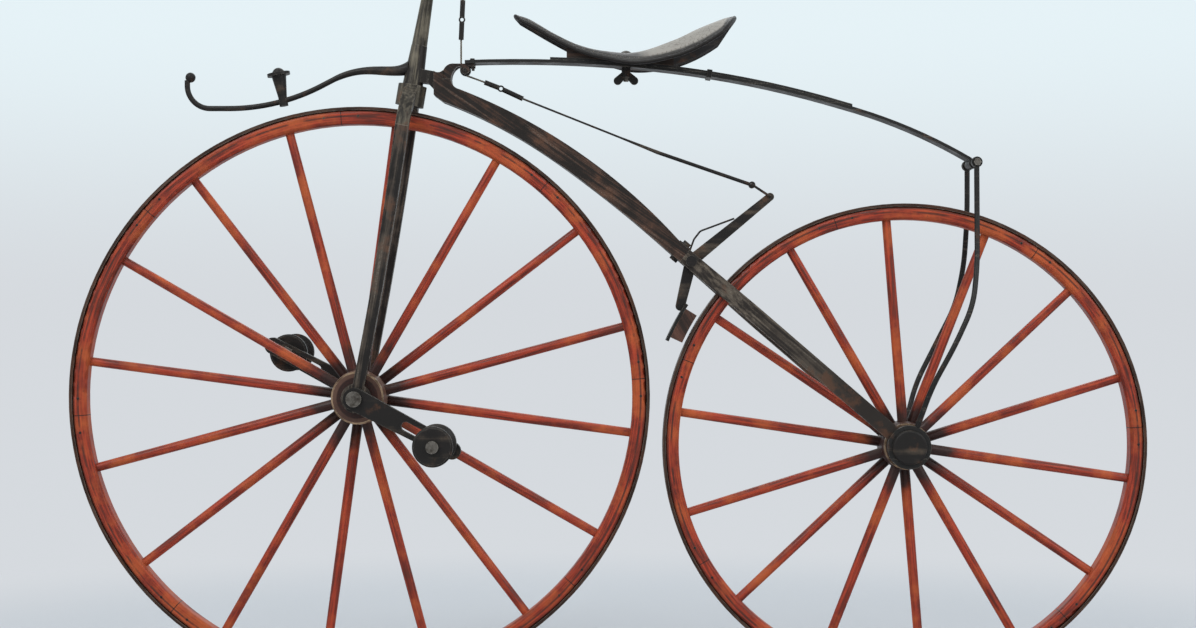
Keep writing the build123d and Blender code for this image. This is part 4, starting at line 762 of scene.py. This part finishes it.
def seat_point(along, across, depth=0.0):
    """Give a point of the seat: along and across go from -1 to 1, and depth is below its skin."""
    nose, tail = SEAT_ROWS[0][0], SEAT_ROWS[-1][0]
    corner = abs(across) ** 4
    if along > TAIL_START:
        along -= TAIL_CUT * corner * (along - TAIL_START) / (1 - TAIL_START)
    if along < -NOSE_START:
        along += NOSE_CUT * corner * (-NOSE_START - along) / (1 - NOSE_START)
    behind = nose + (along + 1) / 2 * (tail - nose)
    ridge, half_width, droop, flat = seat_section(behind)
    aside = max(0.0, (half_width * abs(across) - flat) / (half_width - flat))
    return Vector((behind, half_width * across, ridge - droop * aside ** 2 - depth))


def smooth_share(value, low, high):
    """Give a smooth share from 0 at low to 1 at high."""
    share = min(1.0, max(0.0, (value - low) / (high - low)))
    return share * share * (3 - 2 * share)


def lay_seat_grid(across_limit, depth_at):
    """Lay a grid on the seat's form, out to a share of its width, and note where it is rubbed pale and
    painted with a sheen.
    """
    start_afresh()
    bpy.ops.mesh.primitive_grid_add(x_subdivisions=84, y_subdivisions=40, size=2)
    sheet = bpy.context.object
    along_limit = 1 - 0.4 * (1 - across_limit)
    rubbed_and_sheen = sheet.data.attributes.new("rubbed_and_sheen", "FLOAT", "POINT")
    for vertex, share in zip(sheet.data.vertices, rubbed_and_sheen.data):
        along, across = vertex.co.x, vertex.co.y
        # Pale share: rubbed leather and a painted sheen on the rear flanks, little on the nose, none at
        # the rim or the tail's end
        toward_tail = smooth_share(along, 0.0, 0.36)
        toward_rim = smooth_share(abs(across), 0.84, 0.96)
        toward_end = smooth_share(along, 0.9, 0.98)
        share.value = (0.06 + 0.94 * toward_tail) * (1 - toward_rim) * (1 - toward_end)
        vertex.co = seat_point(along * along_limit, across * across_limit, depth_at(along, across))
    sheet.data.update()
    return sheet


def thicken(sheet, thickness, bevel):
    """Give a sheet its thickness below its face and round its edge."""
    shell = sheet.modifiers.new("thickness", "SOLIDIFY")
    shell.thickness = thickness
    shell.offset = -1
    edge = sheet.modifiers.new("rounded_edge", "BEVEL")
    edge.width = bevel
    edge.segments = 3
    edge.limit_method = "ANGLE"
    edge.angle_limit = radians(50)
    bpy.ops.object.modifier_apply(modifier="thickness")
    bpy.ops.object.modifier_apply(modifier="rounded_edge")
    bpy.ops.object.shade_smooth_by_angle(angle=radians(50))


def rim_points(across, depth, steps=120):
    """Give the points round the seat at a share of its width and a depth."""
    points = [seat_point(-1 + 2 * i / steps, across, depth) for i in range(steps + 1)]
    points += [seat_point(1, across * (1 - 2 * i / 24), depth) for i in range(1, 24)]
    points += [seat_point(1 - 2 * i / steps, -across, depth) for i in range(steps + 1)]
    points += [seat_point(-1, -across * (1 - 2 * i / 12), depth) for i in range(1, 12)]
    return points


def make_seat():
    """Make the leather cover, the welt round its rim, the seam inside it and the iron pan."""
    generator = random.Random(5)
    dents = [
        (generator.uniform(-0.9, 0.9), generator.uniform(-0.75, 0.75), generator.uniform(0.06, 0.16))
        for _ in range(26)
    ]

    def dent(along, across):
        """Give the depth of the shallow dents and of the furrow along the seam."""
        dented = sum(
            DENT_DEPTH * max(0.0, 1 - ((along - x) ** 2 + (across - y) ** 2) / size ** 2)
            for x, y, size in dents
        )
        return dented + FURROW_DEPTH * max(0.0, 1 - (abs(abs(across) - SEAM_ACROSS) / 0.04) ** 2)

    cover = lay_seat_grid(1.0, dent)
    thicken(cover, LEATHER_THICKNESS, 0.0014)
    settle(cover, "frame", seat_leather, "seat_leather_cover")
    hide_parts("saddle")

    welt = make_tube(rim_points(1.0, 0.55 * LEATHER_THICKNESS), WELT_RADIUS, 12, endless=True)
    bpy.ops.object.shade_smooth_by_angle(angle=radians(60))
    settle(welt, "frame", welt_leather_and_shade, "seat_welt")

    stitch = make_stud(STITCH_RADIUS, STITCH_HEIGHT, 6, sink=0.0004)
    for vertex in stitch.data.vertices:
        vertex.co.y *= STITCH_LENGTHENING
    places = []
    for side in (-1, 1):
        along = -SEAM_END
        while along < SEAM_END:
            place = seat_point(along, side * SEAM_ACROSS, SEAM_SINK)
            ahead = seat_point(along + SEAM_STEP, side * SEAM_ACROSS, SEAM_SINK)
            inward = seat_point(along, side * (SEAM_ACROSS - 0.02), SEAM_SINK)
            run = (ahead - place).normalized()
            upright = run.cross(inward - place) if side < 0 else (inward - place).cross(run)
            places.append(facing(place, upright, upright.cross(run)))
            along += SEAM_STEP * STITCH_PITCH / (ahead - place).length
    seam = copy_to(stitch, places)
    settle(seam, "frame", stitch_thread, "seat_seam")

    pan = lay_seat_grid(PAN_ACROSS, lambda along, across: 0.0)
    below = [vertex.co - vertex.normal * (LEATHER_THICKNESS + PAN_GAP) for vertex in pan.data.vertices]
    for vertex, place in zip(pan.data.vertices, below):
        vertex.co = place
    pan.data.update()
    thicken(pan, PAN_THICKNESS, 0.0003)
    settle(pan, "frame", plain_iron, "seat_pan")


make_seat()


# Brake cord: three strands laid together, round the pulley and up to the winding yoke

CORD_RADIUS = 0.0016
STRAND_OFFSET = 0.00078
STRAND_RADIUS = 0.00082
LAY_LENGTH = 0.011
CORD_SLOPE = radians(20)
CENTRE_NORMAL = Vector((0, 1, 0))


def lay_strands(route):
    """Wind three strands round a route of close points in the centre plane, and join them."""
    strands = []
    for strand in range(3):
        turn = 2 * pi * strand / 3
        points = []
        for i, place in enumerate(route):
            ahead = route[min(i + 1, len(route) - 1)] - route[max(i - 1, 0)]
            across = ahead.cross(CENTRE_NORMAL).normalized()
            if i:
                turn += 2 * pi * (place - route[i - 1]).length / LAY_LENGTH
            points.append(place + (across * cos(turn) + CENTRE_NORMAL * sin(turn)) * STRAND_OFFSET)
        strands.append(make_tube(points, STRAND_RADIUS, 8))
    cord = join_up(strands)
    bpy.ops.object.shade_smooth_by_angle(angle=radians(60))
    return cord


def straight(start, end, step=0.0012):
    """Give close points from a start to an end."""
    count = max(2, int((end - start).length / step))
    return [start.lerp(end, i / count) for i in range(count + 1)]


def lay_lower_cord():
    """Lay the cord from the upper hooks round the pulley and down its slope to the slanted hooks."""
    pulley_low, pulley_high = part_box("cord_pulley")
    cord_low, cord_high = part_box("brake_cord")
    centre = (pulley_low + pulley_high) / 2
    wrap_radius = centre.x - (cord_low.x + CORD_RADIUS)
    wrap_end = 1.5 * pi - CORD_SLOPE

    def on_pulley(angle):
        """Give the cord's place at an angle round the pulley."""
        return centre + Vector((cos(angle), 0, sin(angle))) * wrap_radius

    top = Vector((centre.x - wrap_radius, 0, cord_high.z))
    leave = on_pulley(wrap_end)
    run = cord_high.x - CORD_RADIUS * sin(CORD_SLOPE) - leave.x
    bottom = leave + Vector((1, 0, -tan(CORD_SLOPE))) * run
    route = straight(top, Vector((top.x, 0, centre.z)))
    route += [on_pulley(pi + (wrap_end - pi) * i / 24) for i in range(1, 24)]
    route += straight(leave, bottom)
    cord = lay_strands(route)
    settle(cord, "frame", cord_linen, "twisted_lower_cord")
    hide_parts("brake_cord")


def lay_upper_cord():
    """Lay the cord from the upper hooks, on the frame, to the winding yoke, on the fork."""
    low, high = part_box("upper_brake_cord")
    start = Vector((low.x + CORD_RADIUS, 0, low.z))
    end = Vector((high.x - CORD_RADIUS, 0, high.z))
    cord = lay_strands(straight(start, end))
    label(cord, cord_linen, "twisted_upper_cord")
    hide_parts("upper_brake_cord")
    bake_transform(cord)


lay_lower_cord()
lay_upper_cord()


# Wheel fastenings: pins at the joints of the felloes, and the heads of the tyre's bolts

PIN_ARC = 0.027
PIN_RADIUS = 0.0021
PIN_HEIGHT = 0.0004
BOLT_RADIUS = 0.0050
BOLT_HEIGHT = 0.00025


def fasten_wheel(hub, body, prefix, rim, count):
    """Set a pin each side of each felloe joint, on both faces, and bolt heads round the tyre."""
    rim_radius, felloe_depth, pitch, phase = rim
    tread_radius = rim_radius + TYRE_THICKNESS
    pin_radius = rim_radius - LINE_DEPTH * felloe_depth
    pin_places = []
    bolt_places = []
    for i in range(count):
        for side in (-1, 1):
            turn = phase + i * pitch + side * PIN_ARC / pin_radius
            out = Vector((cos(turn), 0, sin(turn)))
            bolt_places.append(facing(hub + out * tread_radius, out, (0, 1, 0)))
            for face in (-1, 1):
                place = hub + out * pin_radius + Vector((0, face * RIM_HALF_WIDTH, 0))
                pin_places.append(facing(place, (0, face, 0)))
    pins = copy_to(make_stud(PIN_RADIUS, PIN_HEIGHT, 10), pin_places)
    settle(pins, body, plain_iron, prefix + "_felloe_pins")
    bolts = copy_to(make_stud(BOLT_RADIUS, BOLT_HEIGHT, 14, top=0.8), bolt_places)
    settle(bolts, body, plain_iron, prefix + "_tyre_bolts")


fasten_wheel(FRONT_HUB, "front_wheel", "front", FRONT_RIM, FRONT_FELLOES)
fasten_wheel(REAR_HUB, "rear_wheel", "rear", REAR_RIM, REAR_FELLOES)


# Floor, backdrop, lamps and camera

BACKDROP_TOP = (0.79, 0.89, 0.93, 1)
BACKDROP_LOW = (0.67, 0.70, 0.735, 1)
HAZE_TOP = 0.14
SKY_COLOUR = (0.80, 0.85, 0.90, 1)
SKY_STRENGTH = 0.55
FLOOR_COLOUR = (0.60, 0.63, 0.66, 1)
FLOOR_HALF_SIZE = 14
FLOOR_FADE = (1.1, 2.0)
LAMPS = [
    # Name, place, what it looks at, size, power
    ("key_lamp", (-2.2, -3.0, 2.6), (0, 0, -0.4), 2.4, 110),
    ("fill_lamp", (2.8, -2.4, 1.6), (0.2, 0, -0.4), 2.4, 60),
    ("back_lamp", (0.4, 3.2, 2.8), (0, 0, -0.4), 3.0, 60),
]
PHOTO_WIDTH = 1196
METRES_PER_PIXEL = 0.00158
SENSOR_WIDTH = 36.0
CAMERA_DISTANCE = 3.35
CAMERA_PLACE = (-0.0597, -CAMERA_DISTANCE, -0.411)


def seen_itself(tree):
    """Find the rays that see the backdrop itself: from the camera, through glass or in a reflection."""
    path = node(tree, "ShaderNodeLightPath").outputs
    seen = maths(tree, "MAXIMUM", path["Is Camera Ray"], path["Is Transmission Ray"])
    return maths(tree, "MAXIMUM", seen, path["Is Glossy Ray"])


def make_floor_paper():
    """Make the floor's paper, which fades into the backdrop away from the object."""
    paper = bpy.data.materials.new("floor_paper")
    paper.use_nodes = True
    tree = paper.node_tree
    shader = tree.nodes["Principled BSDF"]
    shader.inputs["Roughness"].default_value = 0.9
    shader.inputs["Base Color"].default_value = FLOOR_COLOUR
    place = node(tree, "ShaderNodeTexCoord").outputs["Object"]
    away = node(tree, "ShaderNodeVectorMath", {0: place}, operation="LENGTH").outputs["Value"]
    faded = maths(tree, "MULTIPLY", seen_itself(tree), rise(tree, away, *FLOOR_FADE))
    glow = node(tree, "ShaderNodeEmission", {"Color": BACKDROP_LOW})
    mixed = node(tree, "ShaderNodeMixShader", {0: faded, 1: shader.outputs[0], 2: glow.outputs[0]})
    tree.links.new(mixed.outputs[0], tree.nodes["Material Output"].inputs["Surface"])
    return paper


def lay_floor():
    """Lay the floor under the wheels."""
    start_afresh()
    bpy.ops.mesh.primitive_plane_add(size=2, location=(0, 0, FLOOR_HEIGHT))
    floor = bpy.context.object
    floor.name = "floor"
    for vertex in floor.data.vertices:
        vertex.co.x *= FLOOR_HALF_SIZE
        vertex.co.y *= FLOOR_HALF_SIZE
    floor.data.materials.append(make_floor_paper())


def make_world():
    """Light the object by a plain sky, and show a backdrop that turns pale blue towards its top."""
    world = bpy.data.worlds.new("studio")
    bpy.context.scene.world = world
    world.use_nodes = True
    tree = world.node_tree
    sky = tree.nodes["Background"]
    sky.inputs["Color"].default_value = SKY_COLOUR
    sky.inputs["Strength"].default_value = SKY_STRENGTH
    direction = node(tree, "ShaderNodeTexCoord").outputs["Generated"]
    upward = node(tree, "ShaderNodeSeparateXYZ", {0: direction}).outputs[2]
    haze = blend(tree, rise(tree, upward, 0.0, HAZE_TOP), BACKDROP_LOW, BACKDROP_TOP)
    backdrop = node(tree, "ShaderNodeBackground", {"Color": haze, "Strength": 1.0})
    inputs = {0: seen_itself(tree), 1: sky.outputs[0], 2: backdrop.outputs[0]}
    mixed = node(tree, "ShaderNodeMixShader", inputs)
    tree.links.new(mixed.outputs[0], tree.nodes["World Output"].inputs["Surface"])


def add_lamp(name, place, target, size, power):
    """Add a square soft lamp that looks at a target."""
    lamp = bpy.data.lights.new(name, "AREA")
    lamp.size = size
    lamp.energy = power
    holder = bpy.data.objects.new(name, lamp)
    bpy.context.scene.collection.objects.link(holder)
    holder.location = place
    holder.rotation_euler = (Vector(target) - Vector(place)).to_track_quat("-Z", "Y").to_euler()


def place_camera():
    """Place a level camera that looks square at the left side, framed as the photograph is."""
    camera_data = bpy.data.cameras.new("camera")
    camera_data.sensor_width = SENSOR_WIDTH
    camera_data.lens = SENSOR_WIDTH * CAMERA_DISTANCE / (PHOTO_WIDTH * METRES_PER_PIXEL)
    camera = bpy.data.objects.new("camera", camera_data)
    bpy.context.scene.collection.objects.link(camera)
    camera.location = CAMERA_PLACE
    camera.rotation_euler = (pi / 2, 0, 0)
    bpy.context.scene.camera = camera


lay_floor()
make_world()
for lamp in LAMPS:
    add_lamp(*lamp)
place_camera()
bpy.context.scene.view_settings.view_transform = "Standard"
